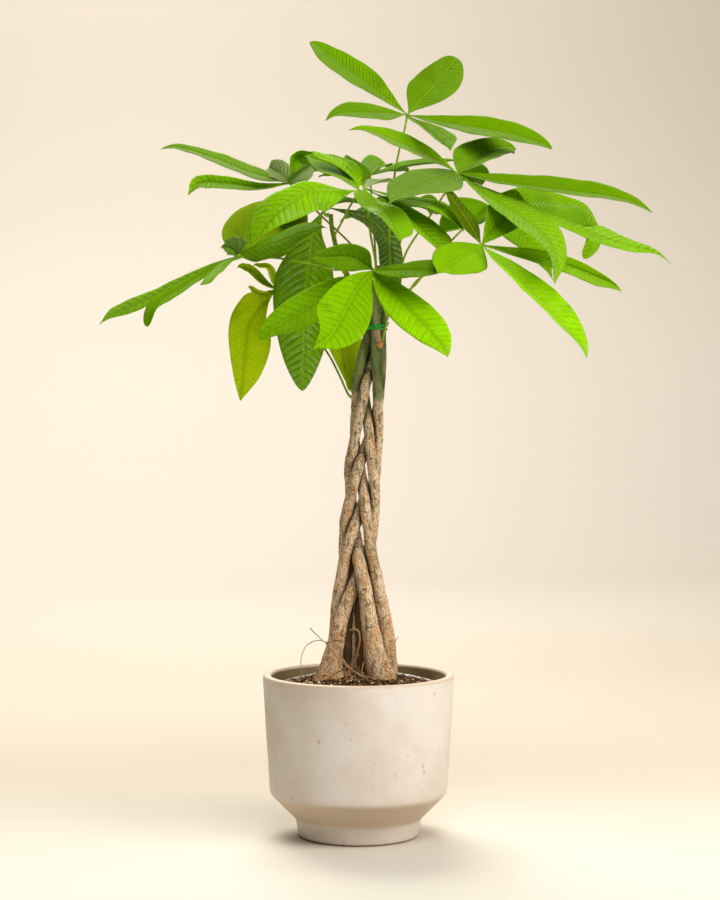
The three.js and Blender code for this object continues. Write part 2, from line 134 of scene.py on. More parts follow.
def sheet(name: str, columns: int, rows: int) -> tuple[bpy.types.Object, np.ndarray, np.ndarray]:
    """Adds a flat grid that is then bent into shape.

    Args:
        name: Name of the new object.
        columns: Faces from side to side.
        rows: Faces from end to end.

    Returns:
        The object, and each corner's place across and along it, from 0 to 1.
    """
    deselect()
    bpy.ops.mesh.primitive_grid_add(x_subdivisions=columns, y_subdivisions=rows, size=2)
    ob = bpy.context.object
    ob.name = name
    flat = corners(ob)
    return ob, (flat[:, 0] + 1) / 2, (flat[:, 1] + 1) / 2


def close_up(ob: bpy.types.Object, merge: float = 1e-6) -> None:
    """Merges a rolled sheet's seam, fills its open ends and turns its faces outwards.

    Args:
        ob: The rolled sheet.
        merge: Distance below which corners become one, in metres.
    """
    choose(ob)
    bpy.ops.object.mode_set(mode="EDIT")
    bpy.ops.mesh.select_all(action="SELECT")
    bpy.ops.mesh.remove_doubles(threshold=merge)
    bpy.ops.mesh.select_all(action="SELECT")
    bpy.ops.mesh.fill_holes(sides=0)
    bpy.ops.mesh.select_all(action="SELECT")
    bpy.ops.mesh.normals_make_consistent(inside=False)
    bpy.ops.object.mode_set(mode="OBJECT")
    bpy.ops.object.shade_smooth()


def store(ob: bpy.types.Object, name: str, values: np.ndarray) -> None:
    """Keeps a number for each corner, for a material to read by its name."""
    kept = ob.data.attributes.new(name, "FLOAT", "POINT")
    kept.data.foreach_set("value", values.astype(np.float32))


def tint(ob: bpy.types.Object, colours: np.ndarray) -> None:
    """Keeps a colour for each corner in the attribute named tint.

    Args:
        ob: A mesh object.
        colours: One row of red, green and blue for each vertex, or one row for all.
    """
    kept = ob.data.attributes.new("tint", "FLOAT_COLOR", "POINT")
    rows = np.ones((len(ob.data.vertices), 4), dtype=np.float32)
    rows[:, :3] = colours
    kept.data.foreach_set("color", rows.ravel())


def smooth_line(points: np.ndarray, steps: int) -> np.ndarray:
    """Draws a centripetal Catmull-Rom line through points, evenly spaced in its parameter.

    Args:
        points: The points that the line passes through.
        steps: Number of spans in the result.

    Returns:
        steps + 1 points on the line.
    """
    ends = np.vstack([2 * points[0] - points[1], points, 2 * points[-1] - points[-2]])
    spans = len(points) - 1
    line = []
    for step in range(steps + 1):
        place = min(step / steps * spans, spans - 1e-9)
        i = int(place)
        p = ends[i:i + 4]
        knots = np.concatenate([[0.0], np.cumsum(np.sqrt(np.linalg.norm(np.diff(p, axis=0), axis=1)) + 1e-9)])
        t = knots[1] + (place - i) * (knots[2] - knots[1])
        a = [blend(p[k], p[k + 1], knots[k], knots[k + 1], t) for k in range(3)]
        b = [blend(a[k], a[k + 1], knots[k], knots[k + 2], t) for k in range(2)]
        line.append(blend(b[0], b[1], knots[1], knots[2], t))
    return np.array(line)


def blend(a: np.ndarray, b: np.ndarray, start: float, end: float, at: float) -> np.ndarray:
    """Mixes two points by where a number lies between a start and an end."""
    return a + (b - a) * ((at - start) / (end - start))


def unit(rows: np.ndarray) -> np.ndarray:
    """Scales vectors, one in each row, to length 1."""
    return rows / np.linalg.norm(rows, axis=-1, keepdims=True)


def run_along(line: np.ndarray) -> np.ndarray:
    """Measures how far each point of a line lies from its start, along the line."""
    return np.concatenate([[0.0], np.cumsum(np.linalg.norm(np.diff(line, axis=0), axis=1))])


def sampled(stops: float | np.ndarray, run: np.ndarray, rows: np.ndarray) -> np.ndarray:
    """Reads rows of numbers, which belong to places along a run, at other places."""
    return np.array([np.interp(stops, run, column) for column in rows.T]).T


def relax(line: np.ndarray, passes: int) -> None:
    """Averages each inner point of a line with its neighbours."""
    for _ in range(passes):
        line[1:-1] = line[1:-1] * 0.5 + (line[:-2] + line[2:]) * 0.25


def along_line(line: np.ndarray) -> tuple[np.ndarray, np.ndarray]:
    """Carries two cross directions along a line without twist.

    Args:
        line: Points of the line.

    Returns:
        Two unit vectors for each point, square to the line and to each other.
    """
    ahead = unit(np.gradient(line, axis=0))
    start = np.cross(ahead[0], UP)
    side = unit(start) if np.linalg.norm(start) > 0.05 else np.array([1.0, 0.0, 0.0])
    sides = []
    for way in ahead:
        side = unit(side - way * (side @ way))
        sides.append(side)
    sides = np.array(sides)
    return sides, np.cross(ahead, sides)


def rolled(name: str, line: np.ndarray, sides: int) \
        -> tuple[bpy.types.Object, np.ndarray, np.ndarray, np.ndarray]:
    """Adds a sheet that is to be rolled round a line.

    Args:
        name: Name of the new object.
        line: Points of the middle line, in metres.
        sides: Number of faces round it.

    Returns:
        The sheet, and each corner's number of its point on the line, angle round it and direction outwards.
    """
    ob, across, along = sheet(name, sides, len(line) - 1)
    i = np.rint(along * (len(line) - 1)).astype(int)
    side, over = along_line(line)
    angle = across * 2 * math.pi
    return ob, i, angle, side[i] * np.cos(angle)[:, None] + over[i] * np.sin(angle)[:, None]


def tube(name: str, line: np.ndarray, radii: np.ndarray, sides: int) -> bpy.types.Object:
    """Rolls a sheet into a closed tube along a line.

    Args:
        name: Name of the new object.
        line: Points of the middle line, in metres.
        radii: Radius at each point, in metres.
        sides: Number of faces round the tube.

    Returns:
        The tube.
    """
    ob, i, _, spoke = rolled(name, line, sides)
    place_corners(ob, line[i] + spoke * radii[i][:, None])
    close_up(ob)
    return ob


def turned(name: str, outline: np.ndarray, sides: int) -> bpy.types.Object:
    """Turns an outline round the Z axis into a closed shape.

    Args:
        name: Name of the new object.
        outline: Rows of radius and height in metres, from axis to axis.
        sides: Number of faces round the shape.

    Returns:
        The turned shape.
    """
    ob, across, along = sheet(name, sides, len(outline) - 1)
    radius, height = outline[np.rint(along * (len(outline) - 1)).astype(int)].T
    angle = across * 2 * math.pi
    place_corners(ob, np.column_stack([radius * np.cos(angle), radius * np.sin(angle), height]))
    close_up(ob, 1e-5)
    return ob


def soften(outline: np.ndarray, spacing: float, passes: int) -> np.ndarray:
    """Splits an outline into short steps and rounds its corners.

    Args:
        outline: Rows of radius and height.
        spacing: Length of a step.
        passes: How often neighbours are averaged.

    Returns:
        The new outline, with the same ends.
    """
    run = run_along(outline)
    fine = sampled(np.linspace(0, run[-1], int(run[-1] / spacing) + 1), run, outline)
    relax(fine, passes)
    return fine


def linked(name: str, data: Any) -> bpy.types.Object:
    """Makes an object of its data and links it to the scene."""
    ob = bpy.data.objects.new(name, data)
    bpy.context.scene.collection.objects.link(ob)
    return ob


def join(pieces: list[bpy.types.Object], name: str) -> bpy.types.Object:
    """Joins objects into the first one.

    Args:
        pieces: The objects to join.
        name: Name of the result.

    Returns:
        The joined object.
    """
    choose(*pieces)
    bpy.ops.object.join()
    pieces[0].name = name
    pieces[0].data.name = name
    return pieces[0]


def hand_in(ob: bpy.types.Object, slot: Slot, *nodes: str) -> None:
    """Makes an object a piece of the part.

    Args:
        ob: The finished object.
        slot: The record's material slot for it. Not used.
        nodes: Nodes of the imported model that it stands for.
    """
    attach(ob, BODY)
    if nodes:
        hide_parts(*nodes)
    LOG.info("%s: %d faces", ob.name, len(ob.data.polygons))


def wobble(places: np.ndarray, size: float, octaves: int = 3, seed: float = 0.0) -> np.ndarray:
    """Smooth noise at places, roughly from -1 to 1, whose largest features have a size in metres."""
    return np.array([noise.fractal(Vector(p), 0.9, 2.1, octaves) for p in places / size + seed * 7.3])


class Graph:
    """A material and its node tree."""

    def __init__(self, name: str) -> None:
        """Starts an empty material."""
        self.material = bpy.data.materials.new(name)
        self.material.use_nodes = True
        self.tree = self.material.node_tree
        self.tree.nodes.clear()

    def node(self, kind: str, settings: dict[str, Any] | None = None, **inputs: Any) -> bpy.types.Node:
        """Adds a node.

        Args:
            kind: The node's type, without the leading ShaderNode.
            settings: The node's own settings.
            inputs: A value or link for each socket, by its name with underscores, or i and its number.

        Returns:
            The new node.
        """
        node = self.tree.nodes.new("ShaderNode" + kind)
        for key, value in (settings or {}).items():
            setattr(node, key, value)
        for key, value in inputs.items():
            by_number = key[0] == "i" and key[1:].isdigit()
            socket = node.inputs[int(key[1:]) if by_number else key.replace("_", " ")]
            if isinstance(value, Value):
                value = value.socket
            if isinstance(value, bpy.types.NodeSocket):
                self.tree.links.new(value, socket)
            else:
                socket.default_value = value
        return node

    def value(self, kind: str, output: str | int, settings: dict[str, Any] | None = None,
              **inputs: Any) -> "Value":
        """Adds a node and returns one of its outputs as a number for arithmetic."""
        return Value(self, self.node(kind, settings, **inputs).outputs[output])

    def place(self) -> bpy.types.NodeSocket:
        """The object's own coordinates."""
        return self.node("TexCoord").outputs["Object"]

    def axis(self, number: int, where: Any = None) -> "Value":
        """One of the object's own coordinates, or of other ones."""
        return self.value("SeparateXYZ", number, Vector=where or self.place())

    def stretched(self, scale: Point) -> bpy.types.NodeSocket:
        """Object coordinates stretched along the axes."""
        return self.node("Mapping", Vector=self.place(), Scale=scale).outputs[0]

    def noise(self, scale: float, detail: float = 4.0, where: Any = None, rough: float = 0.55) -> "Value":
        """Smooth noise over the surface, from 0 to 1."""
        return self.value("TexNoise", "Fac", Vector=where or self.place(), Scale=scale, Detail=detail,
                          Roughness=rough)

    def kept(self, name: str) -> "Value":
        """A number that the mesh keeps for each corner."""
        return self.value("Attribute", "Fac", {"attribute_name": name})

    def tint(self) -> bpy.types.NodeSocket:
        """The colour that the mesh keeps for each corner."""
        return self.node("Attribute", {"attribute_name": "tint"}).outputs["Color"]

    def mix(self, share: Any, first: Any, second: Any) -> bpy.types.NodeSocket:
        """Mixes two colours or colour sockets. share is how much of the second one, from 0 to 1."""
        colours = [(*c, 1.0) if isinstance(c, tuple) and len(c) == 3 else c for c in (first, second)]
        return self.node("Mix", {"data_type": "RGBA"}, i0=share, i6=colours[0], i7=colours[1]).outputs[2]

    def patches(self, under: Any, over: Any, scale: float, detail: float, rise: Span, share: Any = 1.0,
                where: Any = None) -> bpy.types.NodeSocket:
        """Lays patches of a colour over another one. rise is the noise where they begin and are full."""
        return self.mix(self.noise(scale, detail, where).between(*rise) * share, under, over)

    def bump(self, height: "Value", distance: float, strength: float,
             under: Any = None) -> bpy.types.NodeSocket:
        """Fine relief from a height.

        Args:
            height: Height from 0 to 1.
            distance: Metres between 0 and 1.
            strength: Share of the relief that shows.
            under: A coarser normal that this one is laid over.

        Returns:
            The normal.
        """
        inputs = {"Height": height, "Distance": distance, "Strength": strength}
        if under is not None:
            inputs["Normal"] = under
        return self.node("Bump", **inputs).outputs[0]

    def skin(self, colour: Any, rough: Any, **inputs: Any) -> bpy.types.NodeSocket:
        """Adds the main shader."""
        return self.node("BsdfPrincipled", Base_Color=colour, Roughness=rough, **inputs).outputs[0]

    def finish(self, shader: bpy.types.NodeSocket) -> bpy.types.Material:
        """Links the material's output and returns the material."""
        self.node("OutputMaterial", Surface=shader)
        return self.material


def arithmetic(operation: str, swapped: bool = False) -> Callable:
    """Makes a method of Value that adds a Math node.

    Args:
        operation: The node's operation.
        swapped: Whether the value is its last input instead of its first.

    Returns:
        The method.
    """
    def add_node(value: "Value", *others: Any) -> "Value":
        """Adds the node and returns its result."""
        operands = (*others, value) if swapped else (value, *others)
        inputs = {f"i{k}": operand for k, operand in enumerate(operands)}
        return value.graph.value("Math", 0, {"operation": operation}, **inputs)

    return add_node


class Value:
    """A number in a node tree that Python's operators work on."""

    __add__ = __radd__ = arithmetic("ADD")
    __sub__ = arithmetic("SUBTRACT")
    __rsub__ = arithmetic("SUBTRACT", swapped=True)
    __mul__ = __rmul__ = arithmetic("MULTIPLY")
    __truediv__ = arithmetic("DIVIDE")
    __gt__ = arithmetic("GREATER_THAN")
    __abs__ = arithmetic("ABSOLUTE")
    fraction = arithmetic("FRACT")

    def __init__(self, graph: Graph, socket: bpy.types.NodeSocket) -> None:
        """Wraps a socket."""
        self.graph = graph
        self.socket = socket

    def between(self, low: float, high: float) -> "Value":
        """Rises smoothly from 0 at low to 1 at high."""
        return self.graph.value("MapRange", 0, {"interpolation_type": "SMOOTHSTEP"}, Value=self, From_Min=low,
                                From_Max=high)


@dataclass(frozen=True)
class Glaze:
    """Speckled cream stoneware outside, and the same clay in a dark olive wash inside.

    specks gives scale, reach and strength of three sizes of speck. shoulder and waist give the heights in
    metres of the band of painted shade under the shoulder, lip and foot those between which the glaze there
    changes, and cover how strong each of them is.
    """

    cream: Point = (0.735, 0.675, 0.620)
    warm: Point = (0.640, 0.555, 0.470)
    # thin is the brown of thin glaze on the lip, and also the colour of the painted shade under the shoulder.
    thin: Point = (0.560, 0.420, 0.290)
    speck: Point = (0.480, 0.240, 0.085)
    edge: Point = (0.330, 0.180, 0.080)
    olive: Point = (0.150, 0.120, 0.052)
    specks: tuple[Point, ...] = ((95.0, 0.24, 0.50), (160.0, 0.23, 0.36), (320.0, 0.26, 0.28))
    shoulder: Span = (0.040, 0.033)
    waist: Span = (0.014, 0.018)
    lip: Span = (0.1325, 0.1350)
    foot: Span = (0.0030, 0.0016)
    cover: float = 0.85

    def outside(self) -> bpy.types.Material:
        """Matte cream glaze with painted shade under the shoulder, thin on the lip and bare clay under the
        foot.
        """
        g = Graph("speckled_glaze")
        colour = g.patches(self.cream, self.warm, 14, 3, (0.35, 0.70))
        colour = g.patches(colour, self.warm, 90, 4, (0.52, 0.80), 0.35)
        for scale, reach, share in self.specks:
            colour = g.mix(self._specks(g, scale, reach) * share, colour, self.speck)
        height = g.axis(2)
        # Painted shade: a brown band on the underside of the shoulder, where less light reaches the wall.
        under = (height + (g.noise(25, 2) - 0.5) * 0.008).between(*self.shoulder)
        under = under * height.between(*self.waist)
        worn = (height + g.noise(90, 3) * 0.002).between(*self.lip)
        bare = (height + g.noise(60, 2) * 0.0016).between(*self.foot)
        for share, over in ((under, self.thin), (worn, self.thin), (bare, self.edge)):
            colour = g.mix(share * self.cover, colour, over)
        normal = g.bump(g.noise(220, 5), 0.0005, 0.5, g.bump(g.noise(35, 3), 0.0016, 0.35))
        return g.finish(g.skin(colour, g.noise(120, 3) * 0.14 + 0.50, Normal=normal))

    def inside(self) -> bpy.types.Material:
        """Dark olive wash with water marks."""
        g = Graph("inner_wash")
        colour = g.mix(g.noise(30, 4), self.olive, tuple(c * 1.9 for c in self.olive))
        colour = g.mix(self._specks(g, 150.0, 0.22) * 0.4, colour, self.speck)
        normal = g.bump(g.noise(160, 5), 0.0005, 0.5)
        return g.finish(g.skin(colour, g.noise(80, 3) * 0.2 + 0.42, Normal=normal))

    @staticmethod
    def _specks(g: Graph, scale: float, reach: float) -> Value:
        """Round soft-edged specks of uneven size, one in some of the cells of a Voronoi pattern."""
        cells = g.node("TexVoronoi", Vector=g.stretched((1.0, 1.0, 0.8)), Scale=scale)
        size = g.value("SeparateColor", 0, Color=cells.outputs["Color"])
        return (size * reach - Value(g, cells.outputs["Distance"])).between(0.0, reach * 0.75)


@dataclass(frozen=True)
class Bark:
    """Tan bark with grey and orange flakes, which gives way to green skin near the top of a stem."""

    tan: Point = (1.000, 0.740, 0.500)
    brown: Point = (0.480, 0.280, 0.135)
    gold: Point = (1.000, 0.820, 0.480)
    grey: Point = (0.960, 0.740, 0.510)
    orange: Point = (0.900, 0.380, 0.100)
    rust: Point = (0.860, 0.430, 0.170)
    moss: Point = (0.160, 0.150, 0.045)
    dark: Point = (0.026, 0.014, 0.007)
    skin: Point = (0.270, 0.340, 0.110)
    skin_dark: Point = (0.085, 0.130, 0.026)
    scar: Point = (0.520, 0.230, 0.120)
    shoot: Point = (0.240, 0.380, 0.025)
    shoot_from: Span = (0.425, 0.455)

    def material(self) -> bpy.types.Material:
        """Bark that reads attributes green, scar and low, and one of painted shade where stems touch."""
        g = Graph("braided_bark")
        green, scar, low, crevice_shade = (g.kept(name) for name in ("green", "scar", "low", "crevice_shade"))
        long, oval, broad = (g.stretched((1.0, 1.0, share)) for share in (0.28, 0.5, 0.6))
        grain = g.noise(560, 6, long, 0.7)
        specks = g.noise(880, 4, broad, 0.7)
        colour = g.patches(self.tan, self.grey, 42, 4, (0.40, 0.62), 1.0, oval)
        for over, scale, detail, rise, share, where in (
                (self.brown, 85, 4, (0.46, 0.66), 0.75, long),
                (self.moss, 300, 4, (0.53, 0.63), 0.80, long),
                (self.orange, 190, 4, (0.55, 0.63), low * 0.3 + 0.7, oval),
                (self.gold, 520, 3, (0.55, 0.62), 0.90, g.stretched((1.0, 1.1, 0.8))),
                (self.rust, 70, 4, (0.36, 0.54), low * 0.85, broad)):
            colour = g.patches(colour, over, scale, detail, rise, share, where)
        colour = g.mix(grain.between(0.52, 0.62) * 0.85, colour, self.brown)
        colour = g.mix(specks.between(0.535, 0.60) * (low * 0.20 + 0.70), colour, self.dark)
        edge = (green + (g.noise(140, 3) - 0.5) * 0.9).between(0.35, 0.65)
        colour = g.mix(edge, colour, self._green_skin(g, long))
        colour = g.mix(scar.between(0.25, 0.90) * 0.80, colour, g.mix(edge, self.dark, self.scar))
        # Painted shade: darker bark where the stems touch one another.
        colour = g.mix(crevice_shade * 0.93, colour, g.mix(edge, self.dark, self.skin_dark))
        normal = g.bump(grain, 0.0024, 0.9, g.bump(specks, 0.0016, 0.9))
        rough = grain * 0.25 + 0.65 - edge * 0.22
        return g.finish(g.skin(colour, rough, Normal=normal, Specular_IOR_Level=0.25))

    def _green_skin(self, g: Graph, long: bpy.types.NodeSocket) -> bpy.types.NodeSocket:
        """Colour of the green skin, brighter toward the shoots and dotted with scars."""
        skin = g.patches(self.skin, self.skin_dark, 120, 4, (0.35, 0.65), 1.0, long)
        skin = g.patches(skin, self.skin_dark, 430, 4, (0.54, 0.66), 0.55)
        skin = g.mix(g.axis(2).between(*self.shoot_from) * 0.8, skin, self.shoot)
        return g.patches(skin, self.scar, 105, 3, (0.62, 0.66), 0.9, g.stretched((1.0, 1.0, 1.6)))


@dataclass(frozen=True)
class Litter:
    """Finishes of what lies in the pot: damp mix, chips, white grains and dry rootlets."""

    damp: Point = (0.016, 0.009, 0.004)
    crumb: Point = (0.170, 0.088, 0.034)

    def mix(self) -> bpy.types.Material:
        """Damp peat and bark mix."""
        g = Graph("potting_mix")
        colour = g.patches(self.damp, self.crumb, 380, 5, (0.45, 0.70))
        normal = g.bump(g.noise(520, 6), 0.0015, 0.8)
        return g.finish(g.skin(colour, g.noise(200, 2) * 0.2 + 0.75, Normal=normal, Specular_IOR_Level=0.05))

    def flecked(self, name: str, fleck: Point, rough: float) -> bpy.types.Material:
        """A tinted surface with darker or paler flecks.

        Args:
            name: Name of the material.
            fleck: Colour of the flecks.
            rough: Mean roughness.

        Returns:
            The material, which reads the colour attribute tint.
        """
        g = Graph(name)
        colour = g.patches(g.tint(), fleck, 700, 4, (0.50, 0.75), 0.6)
        normal = g.bump(g.noise(900, 4), 0.0006, 0.7)
        rough = g.noise(400, 2) * 0.2 + rough - 0.1
        return g.finish(g.skin(colour, rough, Normal=normal, Specular_IOR_Level=0.2))


@dataclass(frozen=True)
class CoatedWire:
    """Bright green plastic-coated tie wire."""

    green: Point = (0.004, 0.440, 0.030)

    def material(self) -> bpy.types.Material:
        """Satin plastic with fine scuffs."""
        g = Graph("coated_wire")
        colour = g.patches(self.green, tuple(c * 0.45 for c in self.green), 500, 3, (0.40, 0.75), 0.5)
        normal = g.bump(g.noise(900, 3), 0.0003, 0.4)
        return g.finish(g.skin(colour, g.noise(300, 2) * 0.15 + 0.25, Normal=normal))


@dataclass(frozen=True)
class Veins:
    """Side veins of a leaflet, in millimetres. The mesh and the material share them.

    paper is how many millimetres of the leaflet one unit of its UV map holds.
    """

    spacing: float = 6.6
    slope: float = 0.50
    curve: float = 0.011
    paper: float = 100.0

    def phase(self, along: Any, out: Any, right: Any) -> Any:
        """Counts side veins from the base, for arrays or shader values: whole numbers lie on a vein."""
        return (along - out * self.slope - out * out * self.curve) / self.spacing + right * 0.5


@dataclass(frozen=True)
class LeafSkin:
    """Leaflet faces with a pale rib, sunken side veins painted dark as shade and a fine net between them.

    light and dark are what the leaflet's own tint is mixed with. glow is the share of light that passes.
    The pale colours from sheen to glint are those of painted highlights and reflections.
    """

    veins: Veins = Veins()
    rib: Point = (0.400, 0.620, 0.020)
    under_rib: Point = (0.400, 0.520, 0.150)
    light: Point = (0.420, 0.660, 0.010)
    dark: Point = (0.010, 0.070, 0.001)
    # sheen is the colour of the painted highlight on the crests between the veins.
    sheen: Point = (0.460, 0.580, 0.230)
    painted_reflection: Point = (0.330, 0.455, 0.165)
    net_highlight: Point = (0.420, 0.640, 0.200)
    glint: Point = (0.640, 0.820, 0.420)
    down: Point = (0.200, 0.300, 0.130)
    glow: float = 0.32

    def face(self) -> bpy.types.Material:
        """Upper face: waxy, tinted leaf by leaf."""
        return self._dressed("leaf_face", 0.36, 0.0, self.rib)

    def underside(self) -> bpy.types.Material:
        """Lower face: paler, greyer and more matte."""
        return self._dressed("leaf_underside", 0.58, 0.42, self.under_rib)

    def _dressed(self, name: str, rough: float, pale: float, rib: Point) -> bpy.types.Material:
        """Builds one leaf material.

        Args:
            name: Name of the material.
            rough: Mean roughness.
            pale: Share of grey-green down over the tint.
            rib: Colour of the rib.

        Returns:
            The material.
        """
        g = Graph(name)
        own = g.tint()
        painted_reflection, wax_and_glint, rim, deep = (g.kept(name) for name in ("painted_sheen", "wax_and_glint", "rim", "veined"))
        blade = g.node("UVMap", {"uv_map": "blade"}).outputs[0]
        across = (g.axis(1, blade) - 0.5) * self.veins.paper
        out = abs(across)
        count = self.veins.phase(g.axis(0, blade) * self.veins.paper, out, across > 0.0)
        step = (count + (g.noise(45, 2) - 0.5) * 0.9).fraction()
        broken = g.noise(70, 3).between(0.36, 0.58) * 0.6 + 0.4
        # Mask of the sunken side veins, painted dark as shade below and used for the relief.
        vein = (abs(step - 0.5) * 2.0).between(0.66, 0.98) * out.between(40.0, 10.0) * deep * broken
        crest = step.between(0.30, 0.80) * step.between(1.00, 0.86) * out.between(0.8, 4.0)
        net = g.value("TexVoronoi", "Distance", {"feature": "DISTANCE_TO_EDGE"}, Vector=blade, Scale=95.0)
        mesh = net.between(0.0, 0.16)
        patch = g.noise(55, 4)
        # Painted glints on the crests between the veins of wet leaflets.
        glint = step.between(0.56, 0.70) * step.between(0.88, 0.76) * out.between(2.0, 6.0) * wax_and_glint
        glint = glint * g.noise(34, 3).between(0.44, 0.58) * g.noise(260, 4).between(0.36, 0.54)
        # Painted highlights on the cells of the fine net of wet leaflets.
        net_highlight = net.between(0.20, 0.32) * g.noise(60, 3).between(0.50, 0.60) * wax_and_glint
        light = g.mix(0.55, own, self.light)
        dark = g.mix(0.72, own, self.dark)
        colour = own
        for share, over in (
                (patch.between(0.40, 0.75) * 0.42, light),
                (g.noise(34, 3).between(0.52, 0.78) * 0.42, dark),
                # Painted highlight: a pale sheen on the crests that puff up between the side veins.
                (crest * deep * (0.34 + painted_reflection * 0.5), g.mix(painted_reflection, light, self.sheen)),
                # Painted reflection: halves that face the pale surroundings are painted pale grey-green.
                (painted_reflection * 0.52, self.painted_reflection),
                ((1.0 - mesh) * 0.36, dark),
                (g.noise(480, 4).between(0.52, 0.66) * 0.22, light),
                # Painted shade in the sunken side veins.
                (vein * 0.55, dark),
                (out.between(5.0, 1.0) * 0.20, dark),
                # Paler along the edges: partly the paler underside showing, partly a painted highlight.
                (rim.between(0.93, 0.99) * 0.45, light),
                # Painted highlights on the fine net.
                (net_highlight * 0.55, self.net_highlight),
                # Painted glints between the veins.
                (glint * 0.90, self.glint),
                (pale, self.down),
                (out.between(0.95, 0.45) * (deep * 0.75 + 0.20), rib)):
            colour = g.mix(share, colour, over)
        relief = (1.0 - vein) * 0.55 + crest * deep * 0.30 + mesh * 0.15
        normal = g.bump(relief, 0.0022, 0.8, g.bump(g.noise(160, 4), 0.0010, 0.4))
        skin = g.skin(colour, patch * 0.16 + rough - 0.06, Normal=normal, Coat_Weight=wax_and_glint,
                      Coat_Roughness=0.17, Specular_IOR_Level=0.0)
        through = g.node("BsdfTranslucent", Color=colour, Normal=normal).outputs[0]
        return g.finish(g.node("MixShader", i0=self.glow, i1=skin, i2=through).outputs[0])


@dataclass(frozen=True)
class StalkSkin:
    """Green stalks with darker streaks and a few reddish ones."""

    green: Point = (0.330, 0.520, 0.010)
    shade: Point = (0.150, 0.250, 0.006)
    red: Point = (0.300, 0.200, 0.050)

    def material(self) -> bpy.types.Material:
        """Smooth green skin with faint streaks."""
        g = Graph("stalk_skin")
        colour = g.patches(self.green, self.shade, 90, 4, (0.35, 0.70))
        colour = g.patches(colour, self.red, 500, 3, (0.58, 0.75), 0.35)
        normal = g.bump(g.noise(600, 3), 0.0003, 0.4)
        return g.finish(g.skin(colour, g.noise(200, 2) * 0.2 + 0.35, Normal=normal, Specular_IOR_Level=0.1))


@dataclass
class Pot:
    """The tapered pot on its narrow foot, in millimetres.

    outside and hollow give radius and height of points, from under the foot up the wall and down to the
    floor. wash is the radius and the height up to which the inner wash reaches.
    """

    height: float = 135.0
    rim: float = 80.0
    wall: float = 7.0
    lip: float = 2.4
    outside: tuple[Span, ...] = ((0, 0), (49.0, 0), (50.2, 0.5), (50.6, 1.6), (52.4, 13.3), (53.8, 15.6),
                                 (72.2, 34.2), (73.8, 36.6), (74.4, 40.0))
    hollow: tuple[Span, ...] = ((67.2, 40.0), (45.4, 15.0), (41.4, 9.0), (0, 9.0))
    wash: Span = (73.4, 132.4)
    uneven: float = 0.22
    sides: int = 160

    def outline(self) -> np.ndarray:
        """Radius and height from the middle of the underside, out, over the lip and down to the floor."""
        quarter = np.linspace(0, math.pi / 2, 6)
        lip = [(middle + self.lip * math.cos(a), self.height - self.lip + self.lip * math.sin(a))
               for middle, start in ((self.rim - self.lip, 0), (self.rim - self.wall + self.lip, math.pi / 2))
               for a in quarter + start]
        return soften(np.array([*self.outside, *lip, *self.hollow]) * MM, 0.9 * MM, 2)

    def build(self, glaze: Glaze) -> None:
        """Turns the pot, gives it a thrown unevenness and dresses both sides."""
        ob = turned("glazed_pot", self.outline(), self.sides)
        place = corners(ob)
        out = place[:, :2] / np.maximum(np.linalg.norm(place[:, :2], axis=1, keepdims=True), 1e-6)
        uneven = wobble(place * (1.0, 1.0, 2.5), 0.09, 2) * self.uneven * MM
        place[:, :2] += out * (uneven * np.minimum(place[:, 2] / (20 * MM), 1.0))[:, None]
        place_corners(ob, place)
        ob.data.materials.append(glaze.outside())
        ob.data.materials.append(glaze.inside())
        floor = self.hollow[-1][1]
        for face in ob.data.polygons:
            x, y, z = face.center
            reach = math.hypot(x, y)
            inward = face.normal.x * x + face.normal.y * y < -0.3 * reach
            within = reach < self.wash[0] * MM and floor * MM - 1e-5 < z < self.wash[1] * MM
            if within and (inward or face.normal.z > 0.5):
                face.material_index = 1
        hand_in(ob, Slot.CERAMIC, "pot")


